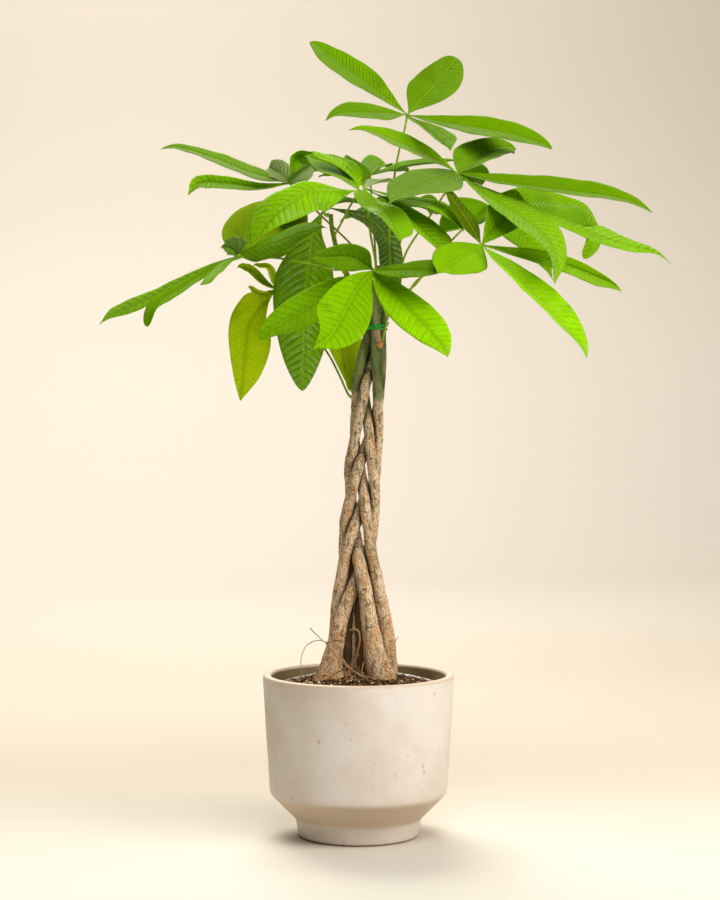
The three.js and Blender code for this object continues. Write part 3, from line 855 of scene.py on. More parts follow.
@dataclass
class Bed:
    """The potting mix and what lies on it, in millimetres.

    edge is the mix's height at the radius brim, and mound how much higher it is in the middle. below gives
    radius and height of points under the mix and up its side. shades are the colours of the chips and shares
    how common each is.
    """

    edge: float = 122.0
    mound: float = 12.0
    brim: float = 73.0
    radius: float = 71.8
    below: tuple[Span, ...] = ((0, 9.6), (41.0, 9.6), (44.8, 15.4), (66.6, 40.4))
    chips: int = 1500
    grains: int = 1300
    shades: tuple[Point, ...] = ((0.045, 0.022, 0.009), (0.110, 0.052, 0.018), (0.230, 0.110, 0.038),
                                 (0.430, 0.220, 0.080), (0.620, 0.400, 0.180), (0.160, 0.115, 0.050))
    shares: tuple[float, ...] = (9, 8, 6, 5, 2.6, 2)

    def level(self, x: float, y: float) -> float:
        """Height of the mix at a place, before its crumbs."""
        return self.edge + self.mound * (1 - (math.hypot(x, y) / self.brim) ** 2)

    def build(self, litter: Litter, stems: list["Stem"]) -> None:
        """Turns the mound, scatters chips where no stem stands, and scatters grains."""
        top = [(r, self.level(r, 0)) for r in np.linspace(self.radius, 0, 30)]
        ob = turned("potting_mix", soften(np.array([*self.below, *top]) * MM, 1.1 * MM, 1), 220)
        place = corners(ob)
        crumbs = wobble(place, 0.006, 4, 1.0) * 1.1 + np.abs(wobble(place, 0.0022, 2, 2.0)) * 0.7
        inside = np.linalg.norm(place[:, :2], axis=1) < (self.radius - 0.8) * MM
        place[:, 2] += crumbs * MM * ((place[:, 2] > (self.edge - 2) * MM) & inside)
        place_corners(ob, place)
        ob.data.materials.append(litter.mix())
        hand_in(ob, Slot.SOIL, "soil")
        rng = random.Random(7)
        self._scatter("bark_chips", self._chip_spots(rng, stems), rng, litter, (0.05, 0.03, 0.015))
        self._scatter("white_grains", self._grain_spots(rng), rng, litter, (0.45, 0.42, 0.38))

    def _chip_spots(self, rng: random.Random, stems: list["Stem"]) -> list[tuple]:
        """Places, sizes and colours of bark chips, clear of the stems."""
        spots = []
        while len(spots) < self.chips:
            r = self.radius * math.sqrt(rng.random()) * 0.985
            a = rng.uniform(0, 2 * math.pi)
            x, y = r * math.cos(a), r * math.sin(a)
            if any(math.hypot(x - s.foot[0], y - s.foot[1]) < s.foot[2] + 0.5 for s in stems):
                continue
            long = rng.uniform(1.2, 4.6) * (1.0 if rng.random() < 0.85 else 1.6)
            size = (long, long * rng.uniform(0.35, 0.8), long * rng.uniform(0.15, 0.4))
            z = self.level(x, y) + rng.uniform(0.0, 1.2)
            spots.append((x, y, z, size, rng.choices(self.shades, self.shares)[0]))
        return spots

    def _grain_spots(self, rng: random.Random) -> list[tuple]:
        """Places, sizes and colours of the white grains, which gather along the wall."""
        spots = []
        for _ in range(self.grains):
            along_ridge = rng.random() < 0.93
            r = rng.uniform(0, 66)
            a = rng.uniform(0, 2 * math.pi)
            x, y = r * math.cos(a), r * math.sin(a)
            if along_ridge:
                x = rng.choice((-1, 1)) * rng.uniform(24, 65)
                y = rng.gauss(27, 1.6)
            long = rng.uniform(0.7, 1.7)
            size = (long, long * rng.uniform(0.7, 1.0), long * rng.uniform(0.6, 0.9))
            white = np.array((1.0, 0.97, 0.92)) * rng.uniform(0.55, 0.80)
            spots.append((x, y, self.level(x, y) + rng.uniform(0.6, 1.7), size, white))
        return spots

    def _scatter(self, name: str, spots: list[tuple], rng: random.Random, litter: Litter,
                 fleck: Point) -> None:
        """Models five rough lumps once and copies one to each spot.

        Args:
            name: Name of the piece.
            spots: x, y, z, size and colour of each copy.
            rng: Seeded source of turns.
            litter: Finishes.
            fleck: Colour of the flecks on them.
        """
        lumps = [self._lump(k, rng) for k in range(5)]
        places, faces, shades = [], [], []
        total = 0
        for x, y, z, size, shade in spots:
            points, loops = rng.choice(lumps)
            angles = [rng.uniform(low, high) for low, high in ((-0.5, 0.5), (-0.5, 0.5), (0, 6.3))]
            turn = np.array(Euler(angles).to_matrix())
            places.append((points * size) @ turn.T + (x, y, z))
            faces.extend(tuple(corner + total for corner in loop) for loop in loops)
            shades.append(np.tile(np.array(shade) * rng.uniform(0.8, 1.2), (len(points), 1)))
            total += len(points)
        data = bpy.data.meshes.new(name)
        data.from_pydata((np.vstack(places) * MM).tolist(), [], faces)
        ob = linked(name, data)
        tint(ob, np.vstack(shades))
        ob.data.materials.append(litter.flecked(name, fleck, 0.8))
        hand_in(ob, Slot.SOIL)

    @staticmethod
    def _lump(kind: int, rng: random.Random) -> tuple[np.ndarray, list[tuple[int, ...]]]:
        """Models one rough lump, about one unit across.

        Args:
            kind: Even kinds are angular chips and odd ones rounded grains.
            rng: Seeded source of unevenness.

        Returns:
            Its corners and the corners of each face.
        """
        deselect()
        if kind % 2:
            bpy.ops.mesh.primitive_ico_sphere_add(subdivisions=1, radius=0.5)
        else:
            bpy.ops.mesh.primitive_cube_add(size=0.9)
            bpy.ops.object.mode_set(mode="EDIT")
            bpy.ops.mesh.bevel(offset=0.12, segments=1)
            bpy.ops.object.mode_set(mode="OBJECT")
        ob = bpy.context.object
        points = corners(ob) * [[rng.uniform(0.78, 1.2) for _ in range(3)] for _ in ob.data.vertices]
        loops = [tuple(face.vertices) for face in ob.data.polygons]
        bpy.data.objects.remove(ob)
        return points, loops


@dataclass
class Stem:
    """One braided stem, drawn over the rings of its node, in millimetres.

    green_from is the height where its bark turns green, scars are those of its ring scars and soil is that of
    the soil. far is a gap that counts as no neighbour.
    """

    number: int
    green_from: float
    scars: tuple[float, ...]
    sides: int = 44
    steps: int = 300
    soil: float = 127.0
    far: float = 99.0

    def __post_init__(self) -> None:
        """Reads the node's level rings: middle and radius of each."""
        self.node = f"stem_{self.number}"
        levels: dict[float, set] = {}
        for x, y, z in corners(bpy.data.objects[self.node]) / MM:
            levels.setdefault(round(z, 1), set()).add((round(x, 3), round(y, 3)))
        self.heights = np.array(sorted(levels))
        rings = [np.array(sorted(levels[z])) for z in self.heights]
        self.middles = np.array([ring.mean(axis=0) for ring in rings])
        spans = [np.linalg.norm(ring - middle, axis=1) for ring, middle in zip(rings, self.middles)]
        self.radii = np.array([np.median(span[span > 0.5]) for span in spans])
        self.foot = (*self.at(self.soil), self.radius(self.soil))

    def at(self, height: float | np.ndarray) -> np.ndarray:
        """Middle of the stem at a height."""
        return sampled(height, self.heights, self.middles)

    def radius(self, height: float | np.ndarray) -> float | np.ndarray:
        """Radius of the stem at a height."""
        return np.interp(height, self.heights, self.radii)

    def crevice_shade(self, place: np.ndarray, others: list["Stem"]) -> np.ndarray:
        """How close each corner lies to another stem, which sets the painted shade in the crevices.

        Args:
            place: Corners in millimetres.
            others: All stems.

        Returns:
            1 where it touches another stem, fading to 0 a few millimetres away.
        """
        gap = np.full(len(place), self.far)
        height = place[:, 2]
        for stem in others:
            if stem.number != self.number:
                away = np.linalg.norm(place[:, :2] - stem.at(height), axis=1) - stem.radius(height)
                gap = np.minimum(gap, np.where(height > stem.heights[-1], self.far, away))
        return np.clip(1.25 - gap / 2.4, 0, 1)

    def build(self, bark: bpy.types.Material, others: list["Stem"]) -> None:
        """Rolls the stem and presses folds, ring scars and grain into it.

        Args:
            bark: The shared bark.
            others: All stems, whose nearness darkens the bark as painted shade.
        """
        z = np.linspace(self.heights[0], self.heights[-1], self.steps + 1)
        line = np.column_stack([self.at(z), z])
        relax(line[:, :2], 3)
        ob, i, angle, spoke = rolled(f"{self.node}_bark", line * MM, self.sides)
        height = z[i]
        low = np.exp(-np.maximum(height - self.soil, 0) / 30.0)
        radius = self.radius(height) * (0.975 + 0.11 * low)
        place = (line[i] + spoke * radius[:, None]) * MM
        folds = wobble(place * (1, 1, 0.12), 0.010, 3, self.number) * (0.16 + 1.25 * low)
        grain = wobble(place * (1, 1, 0.35), 0.0035, 3, self.number + 9) * (0.24 + 0.62 * low)
        scar = sum(np.exp(-((height + np.sin(angle * 2 + k) * 0.8 - level) / 1.0) ** 2)
                   for k, level in enumerate(self.scars))
        young = np.clip((height - self.green_from) / 16.0, -1, 1) * 0.5 + 0.5
        push = folds + grain * (1 - 0.7 * young) + scar * 0.22
        place += spoke * (np.clip(push, -0.9, 0.45 + low)[:, None] * MM)
        place_corners(ob, place)
        store(ob, "green", young)
        store(ob, "scar", np.clip(scar * (0.55 + 0.45 * np.sin(angle * 3 + height)), 0, 1))
        store(ob, "low", low)
        # Painted shade in the crevices between the stems.
        store(ob, "crevice_shade", self.crevice_shade(place / MM, others))
        close_up(ob)
        ob.data.materials.append(bark)
        hand_in(ob, Slot.BARK, self.node)


@dataclass
class Tie:
    """Three turns of coated wire over the bundled stems, with a short twisted end, in millimetres.

    turns gives how far each turn lies above the middle of the band and how far it climbs. twist is how far
    the twisted end reaches to the right, to the back and up.
    """

    radius: float = 0.72
    turns: tuple[Span, ...] = ((1.45, 0.8), (-1.45, -0.6), (0.2, 1.9))
    twist: Point = (5.2, -1.6, 3.0)
    stops: int = 40

    def build(self, stems: list[Stem], wire: bpy.types.Material) -> None:
        """Winds the wire round the stems, at the height of the imported band.

        Args:
            stems: The stems, whose outside the wire follows.
            wire: The wire's finish.
        """
        height = sum(corner[2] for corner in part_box("tie")) / MM / 2
        turns = [self._turn(stems, height + rise, tilt) for rise, tilt in self.turns]
        parts = [tube(f"strand_{k}", line * MM, np.full(len(line), self.radius * MM), 8)
                 for k, line in enumerate(turns)]
        right, front, up = self.twist
        t = np.linspace(0, 1, 14)
        for start in (0.0, math.pi):
            angle = start + t * 9
            curl = np.column_stack([right * t + np.cos(angle) * 0.7, front * t + np.sin(angle) * 0.7,
                                    up * t * t - 1.2])
            parts.append(tube("twist", (turns[0][-3] + curl) * MM, np.full(14, self.radius * 0.85 * MM), 6))
        ob = join(parts, "tie_wire")
        ob.data.materials.append(wire)
        hand_in(ob, Slot.TIE, "tie")

    def _turn(self, stems: list[Stem], height: float, tilt: float) -> np.ndarray:
        """One turn of wire laid round the stems like a stretched band.

        Args:
            stems: The bundled stems.
            height: Mean height of the turn.
            tilt: How far the turn climbs from one side to the other.

        Returns:
            Points of the turn.
        """
        discs = [(*stem.at(height), float(stem.radius(height)) + self.radius * 0.9) for stem in stems]
        angles = np.linspace(-0.35, 2 * math.pi - 0.35, self.stops)
        reach = [max(x * math.cos(a) + y * math.sin(a) + r for x, y, r in discs) for a in angles]
        slope = np.gradient(reach, angles)
        x = reach * np.cos(angles) - slope * np.sin(angles)
        y = reach * np.sin(angles) + slope * np.cos(angles)
        return np.column_stack([x, y, height + tilt * np.sin(angles + 0.8)])


@dataclass
class Rootlets:
    """Dry rootlets over the feet of the stems, old thick roots between them, painted near black as shade, and
    a cut stub under the tie.

    lines gives for each of them its points and radius in millimetres and its colour.
    """

    lines: tuple[tuple[tuple[Point, ...], float, Point], ...] = (
        (((-24, -14, 162), (-34, -14, 164), (-43, -11, 160), (-47, -9, 151), (-48, -8, 140), (-49, -8, 127)),
         0.55, (0.46, 0.36, 0.27)),
        (((-41, -9, 174), (-34, -12, 168), (-27, -15, 162), (-22, -19, 157)), 0.55, (0.30, 0.19, 0.10)),
        (((-26, -18, 162), (-19, -24, 153), (-8, -26, 143), (0, -27, 138), (12, -26, 134), (20, -25, 130)),
         0.75, (0.36, 0.21, 0.10)),
        (((-27, -18, 163), (-18, -20, 165), (-11, -19, 163), (-7, -17, 158)), 0.6, (0.19, 0.10, 0.05)),
        (((0, -19, 153), (-8, -25, 145), (-18, -28, 139), (-27, -26, 132), (-30, -24, 127)),
         0.7, (0.16, 0.08, 0.04)),
        (((-7, -15, 173), (-3, -17, 174), (0, -18, 172), (1, -18, 164), (-1, -17, 155), (-2, -18, 148)),
         0.8, (0.40, 0.27, 0.09)),
        (((-13, -22, 150), (-6, -27, 142), (2, -28, 137), (8, -27, 133), (9, -26, 127)),
         0.55, (0.42, 0.28, 0.15)),
        (((-12, -24, 143), (-10, -29, 136), (-9, -33, 131), (-8, -35, 126)), 0.6, (0.34, 0.22, 0.12)),
        (((4, -21, 147), (3, -24, 140), (4, -27, 133), (5, -28, 126)), 0.65, (0.30, 0.18, 0.09)),
        (((-17, -23, 148), (-12, -27, 140), (-4, -29, 136), (3, -30, 130), (5, -30, 126)),
         0.45, (0.28, 0.17, 0.09)),
        (((30, -15, 150), (24, -22, 146), (19, -21, 152), (16, -20, 158)), 0.6, (0.45, 0.30, 0.16)),
        (((33, -6, 166), (28, -14, 158), (26, -19, 149), (28, -21, 141)), 0.5, (0.40, 0.27, 0.15)),
        (((-33, -10, 140), (-37, -14, 133), (-40, -20, 128), (-45, -24, 125)), 0.6, (0.26, 0.15, 0.08)),
        (((24, -22, 136), (28, -28, 130), (35, -31, 126)), 0.6, (0.33, 0.20, 0.10)),
        # The next three are thick roots that fill the gaps behind and between the stems; their near-black
        # colours are painted shade.
        (((-10, 2, 124), (-10, 3, 150), (-8, 4, 190), (-5.5, 6, 222), (-5.5, 7, 250)),
         5.6, (0.100, 0.052, 0.022)),
        (((2, 6, 124), (1, 5, 150), (0, 5, 180), (-1, 6, 215)), 5.0, (0.150, 0.080, 0.034)),
        (((15, 4, 124), (14.5, 4, 160), (12.5, 5, 195), (11, 6, 225), (8, 7, 250)),
         5.4, (0.070, 0.036, 0.016)),
        (((-14, -14, 124), (-9, -8, 134), (-4, -4, 144)), 3.4, (0.30, 0.14, 0.05)),
        (((2, -16, 124), (1, -8, 132), (0, -2, 141)), 3.2, (0.24, 0.12, 0.045)),
        (((11, -7, 452), (12.5, -9.5, 441), (14, -11.5, 430), (15, -12, 420)), 4.2, (0.22, 0.27, 0.10)),
        (((14.8, -12.5, 421), (16.2, -13.8, 415), (18, -13.2, 409)), 3.6, (0.46, 0.30, 0.20)),
        (((17.4, -13.8, 411), (18.8, -12.8, 406.5)), 3.6, (0.62, 0.27, 0.08)),
    )

    def build(self, litter: Litter) -> None:
        """Draws each root as a tapering tube with small kinks, and thick ones with more sides."""
        parts = []
        for k, (points, radius, shade) in enumerate(self.lines):
            line = smooth_line(np.array(points, dtype=float), 12 * (len(points) - 1))
            line += np.column_stack([wobble(line * MM, 0.006, 2, k + 3 * axis) for axis in range(3)]) * 0.55
            thin = np.linspace(1.15, 0.55, len(line)) * (1 + 0.18 * wobble(line * MM, 0.003, 2, k))
            part = tube("rootlet", line * MM, radius * thin * MM * 0.8, 7 if radius < 2 else 16)
            tint(part, np.array(shade))
            parts.append(part)
        ob = join(parts, "rootlets")
        ob.data.materials.append(litter.flecked("dry_root", (0.10, 0.06, 0.03), 0.75))
        hand_in(ob, Slot.BARK)


class Lie(Enum):
    """How a leaflet's halves lie, seen from the front: 1 is an edge behind the rib and -1 one before it."""

    TILTED = (1, -1)
    CUPPED = (-1, -1)
    ARCHED = (1, 1)
    LEANING = (-1, 1)


@dataclass(frozen=True)
class Leaflet:
    """One leaflet, in millimetres.

    Its rib runs from the frond's hub through the points of path. above and below give, for its two halves,
    the width seen from the front and how far along the rib it is widest. half is the true width of each half.
    base and end round or sharpen its two ends. painted_sheen is how much the upper and the lower half are
    painted pale, as painted reflection, wax_and_glint how wet they look, by a clear coat and by painted
    glints and net highlights, veined how clear the side veins are and grain their scale. wave is how far the
    edge waves, quilt how far the face puffs up between the veins, and hook how far the tip bows up.
    """

    path: list[Point]
    above: Span
    below: Span
    half: float
    base: float = 1.2
    end: float = 0.7
    tone: Tone = Tone.LIME
    lie: Lie = Lie.TILTED
    # painted reflection on the upper and the lower half
    painted_sheen: Span = (0.0, 0.0)
    # strength of the clear coat, and of the painted glints and net highlights
    wax_and_glint: float = 0.03
    veined: float = 0.6
    wave: float = 0.35
    quilt: float = 0.35
    hook: float = 1.2
    grain: float = 0.75

    def rib(self, hub: np.ndarray, v: np.ndarray) -> tuple[np.ndarray, np.ndarray, float]:
        """Draws the rib.

        Args:
            hub: Where the leaflet starts.
            v: Place along the rib, from 0 to 1.

        Returns:
            Points of the rib, its direction at each, and its length.
        """
        line = smooth_line(np.array([hub, *self.path], dtype=float), 90)
        run = run_along(line)
        stops = v * run[-1]
        ahead = sampled(stops, run, unit(np.gradient(line, axis=0)))
        return sampled(stops, run, line), unit(ahead), run[-1]

    def outline(self, v: np.ndarray, widest: np.ndarray) -> np.ndarray:
        """Half width along the leaflet, as a share of the widest."""
        rising = np.sin(np.clip(v / widest, 0, 1) * math.pi / 2) ** self.base
        falling = np.sin(np.clip((1 - v) / (1 - widest), 0, 1) * math.pi / 2) ** self.end
        return np.where(v < widest, rising, falling)

    def bend(self, hub: np.ndarray, across: np.ndarray, v: np.ndarray, veins: Veins,
             seed: int) -> tuple[np.ndarray, np.ndarray, np.ndarray, np.ndarray]:
        """Places the corners of a flat blank on this leaflet.

        Args:
            hub: Where the leaflet starts, in millimetres.
            across: Place across the blank, from 0 to 1.
            v: Place along the blank, from 0 to 1.
            veins: Layout of the side veins.
            seed: Makes each leaflet's waves its own.

        Returns:
            The corners, and each one's distance along the rib, distance to its right and share of painted
            reflection.
        """
        place, ahead, length = self.rib(hub, v)
        view = unit(place - EYE)
        right = unit(np.cross(view, ahead))
        back = np.cross(ahead, right)
        back *= np.sign((back * view).sum(axis=1))[:, None]
        middle = right[np.argmin(np.abs(v - 0.5))]
        upper = (middle[2] if abs(middle[2]) > 0.15 else middle[0]) > 0
        pairs = (self.above, self.below), self.painted_sheen, self.lie.value
        (first, second), shine, lies = pairs if upper else (pair[::-1] for pair in pairs)
        t = across * 2 - 1
        s = np.sign(t) * np.abs(t) ** 1.25
        on_right = s > 0
        seen, widest = (np.where(on_right, first[k], second[k]) for k in (0, 1))
        turn = np.arccos(np.clip(seen / self.half, -0.98, 0.98)) * np.where(on_right, *lies)
        cos, sin = np.cos(turn)[:, None], np.sin(turn)[:, None]
        aside = right * np.where(on_right, 1.0, -1.0)[:, None]
        half = np.maximum(self.half * self.outline(v, widest), np.where(v > 0.5, 0.3, 0.75))
        out = np.abs(s) * half
        along = v * length
        count = veins.phase(along / self.grain, out / self.grain, on_right.astype(float))
        far = np.abs(count - np.floor(count) - 0.5) * 2
        inner = np.clip(out / 2.0, 0, 1) * (1 - np.abs(s) ** 4) * np.clip(np.sin(math.pi * v) * 3, 0, 1)
        puff = (1 - far ** 4) * inner * self.grain * self.quilt - np.exp(-out ** 2) * 0.28 * (v < 0.97)
        ripple = np.sin(along / 6.2 + seed * 1.7 + np.where(on_right, 0, 2.1)) \
            + 0.5 * np.sin(along / 3.1 + seed * 2.9 + np.where(on_right, 1.3, 0))
        edge = self.wave * np.abs(s) ** 2.2 * ripple * np.sin(math.pi * v) ** 0.7
        late = np.clip((v - 0.80) / 0.20, 0, 1) ** 1.6
        place = place + (aside * cos + back * sin) * out[:, None]
        place = place + (aside * sin - back * cos) * (puff + edge)[:, None]
        place = place + UP * (self.hook * 4 * late * (1 - late))[:, None]
        painted_sheen = shine[1] + (shine[0] - shine[1]) * np.clip(s * 12 + 0.5, 0, 1)
        return place, along / self.grain, s * half / self.grain, painted_sheen


@dataclass
class Frond:
    """A palmate frond, in millimetres.

    stem is the number of its stem, and height is where its stalk springs from it. stalk gives points of the
    stalk from the hub down.
    """

    node: str
    stem: int
    height: float
    stalk: list[Point]
    hub: Point
    leaflets: list[Leaflet]
    stalk_radius: float = 1.05
    leaf_thickness: float = 0.38

    def build(self, blank: "Blank", stems: list[Stem], veins: Veins) -> None:
        """Bends a copy of the blank for each leaflet, thickens them and joins them to their stalk.

        Args:
            blank: The flat leaflet blank.
            stems: The stems, to root the stalk on.
            veins: Layout of the side veins.
        """
        hub = np.array(self.hub, dtype=float)
        parts = []
        for k, leaflet in enumerate(self.leaflets):
            seed = k + len(self.node) + int(abs(leaflet.path[-1][0]))
            parts.append(blank.bent(leaflet, hub, veins, seed))
        ob = join(parts, f"{self.node}_leaves")
        thick = ob.modifiers.new("thickness", "SOLIDIFY")
        thick.thickness = self.leaf_thickness * MM
        thick.offset = -1.0
        thick.material_offset = 1
        thick.use_even_offset = False
        choose(ob)
        bpy.ops.object.modifier_apply(modifier=thick.name)
        bpy.ops.object.shade_smooth()
        ob = join([ob, self._stalk(hub, stems[self.stem - 1], blank.stalk)], ob.name)
        hand_in(ob, Slot.LEAF, self.node)

    def _stalk(self, hub: np.ndarray, stem: Stem, skin: bpy.types.Material) -> bpy.types.Object:
        """Draws the stalk, swollen where it springs from the stem and where the leaflets meet."""
        route = [np.array(p, dtype=float) for p in self.stalk]
        points = np.array([*self._spring(stem, route[-1] if route else hub), *route[::-1], hub])
        line = smooth_line(points, 10 * (len(points) - 1))
        run = run_along(line)
        swell = 1.05 * np.exp(-(run / 3.5) ** 2) + 0.85 * np.exp(-((run[-1] - run) / 2.6) ** 2)
        radii = self.stalk_radius * (0.92 - 0.14 * np.linspace(0, 1, len(line)) + swell)
        radii[-1] *= 0.6
        ob = tube("stalk", line * MM, radii * MM, 10)
        tint(ob, np.array((0.15, 0.27, 0.02)))
        ob.data.materials.append(skin)
        return ob

    def _spring(self, stem: Stem, toward: np.ndarray) -> tuple[np.ndarray, np.ndarray]:
        """Finds where the stalk springs from the stem.

        Args:
            stem: The stem that it stands on.
            toward: The next point of the stalk.

        Returns:
            A point inside the stem and one just outside it.
        """
        top = stem.heights[-1]
        if self.height >= top:
            root = np.array([*stem.at(top), top - 0.6])
            return root, root + (0, 0, 2.6)
        middle = np.array([*stem.at(self.height), self.height])
        out = unit((toward - middle) * (1, 1, 0))
        radius = float(stem.radius(self.height))
        return middle + out * (radius * 0.8), middle + out * (radius + 3.3) + (0, 0, 1.2)


class Blank:
    """The flat leaflet that every leaflet is a bent copy of."""

    def __init__(self, skin: LeafSkin, stalk: bpy.types.Material, columns: int = 18, rows: int = 92) -> None:
        """Models the blank once, with its three finishes.

        Args:
            skin: Finishes of the two faces.
            stalk: Finish of the stalks.
            columns: Faces from edge to edge.
            rows: Faces from base to tip.
        """
        self.stalk = stalk
        self.ob, self.across, self.along = sheet("leaflet_blank", columns, rows)
        for material in (skin.face(), skin.underside(), stalk):
            self.ob.data.materials.append(material)
        self.ob.data.uv_layers[0].name = "blade"
        self.loops = np.empty(len(self.ob.data.loops), dtype=np.int32)
        self.ob.data.loops.foreach_get("vertex_index", self.loops)

    def bent(self, leaflet: Leaflet, hub: np.ndarray, veins: Veins, seed: int) -> bpy.types.Object:
        """Copies the blank, with its own mesh, and bends it.

        Args:
            leaflet: The leaflet's measures.
            hub: Where it starts, in millimetres.
            veins: Layout of the side veins.
            seed: Makes its waves and shade its own.

        Returns:
            The bent copy.
        """
        ob = linked("leaflet", self.ob.data.copy())
        place, along, right, painted_sheen = leaflet.bend(hub, self.across, self.along, veins, seed)
        place_corners(ob, place * MM)
        uv = np.column_stack([along / veins.paper, right / veins.paper + 0.5])[self.loops]
        ob.data.uv_layers["blade"].data.foreach_set("uv", uv.astype(np.float32).ravel())
        tint(ob, np.array(leaflet.tone.value) * random.Random(seed).uniform(0.92, 1.08))
        # share of painted reflection at each corner
        store(ob, "painted_sheen", painted_sheen)
        store(ob, "wax_and_glint", np.full(len(along), leaflet.wax_and_glint))
        store(ob, "veined", np.full(len(along), leaflet.veined))
        store(ob, "rim", np.abs(self.across * 2 - 1))
        return ob

    def discard(self) -> None:
        """Removes the blank itself."""
        bpy.data.objects.remove(self.ob)


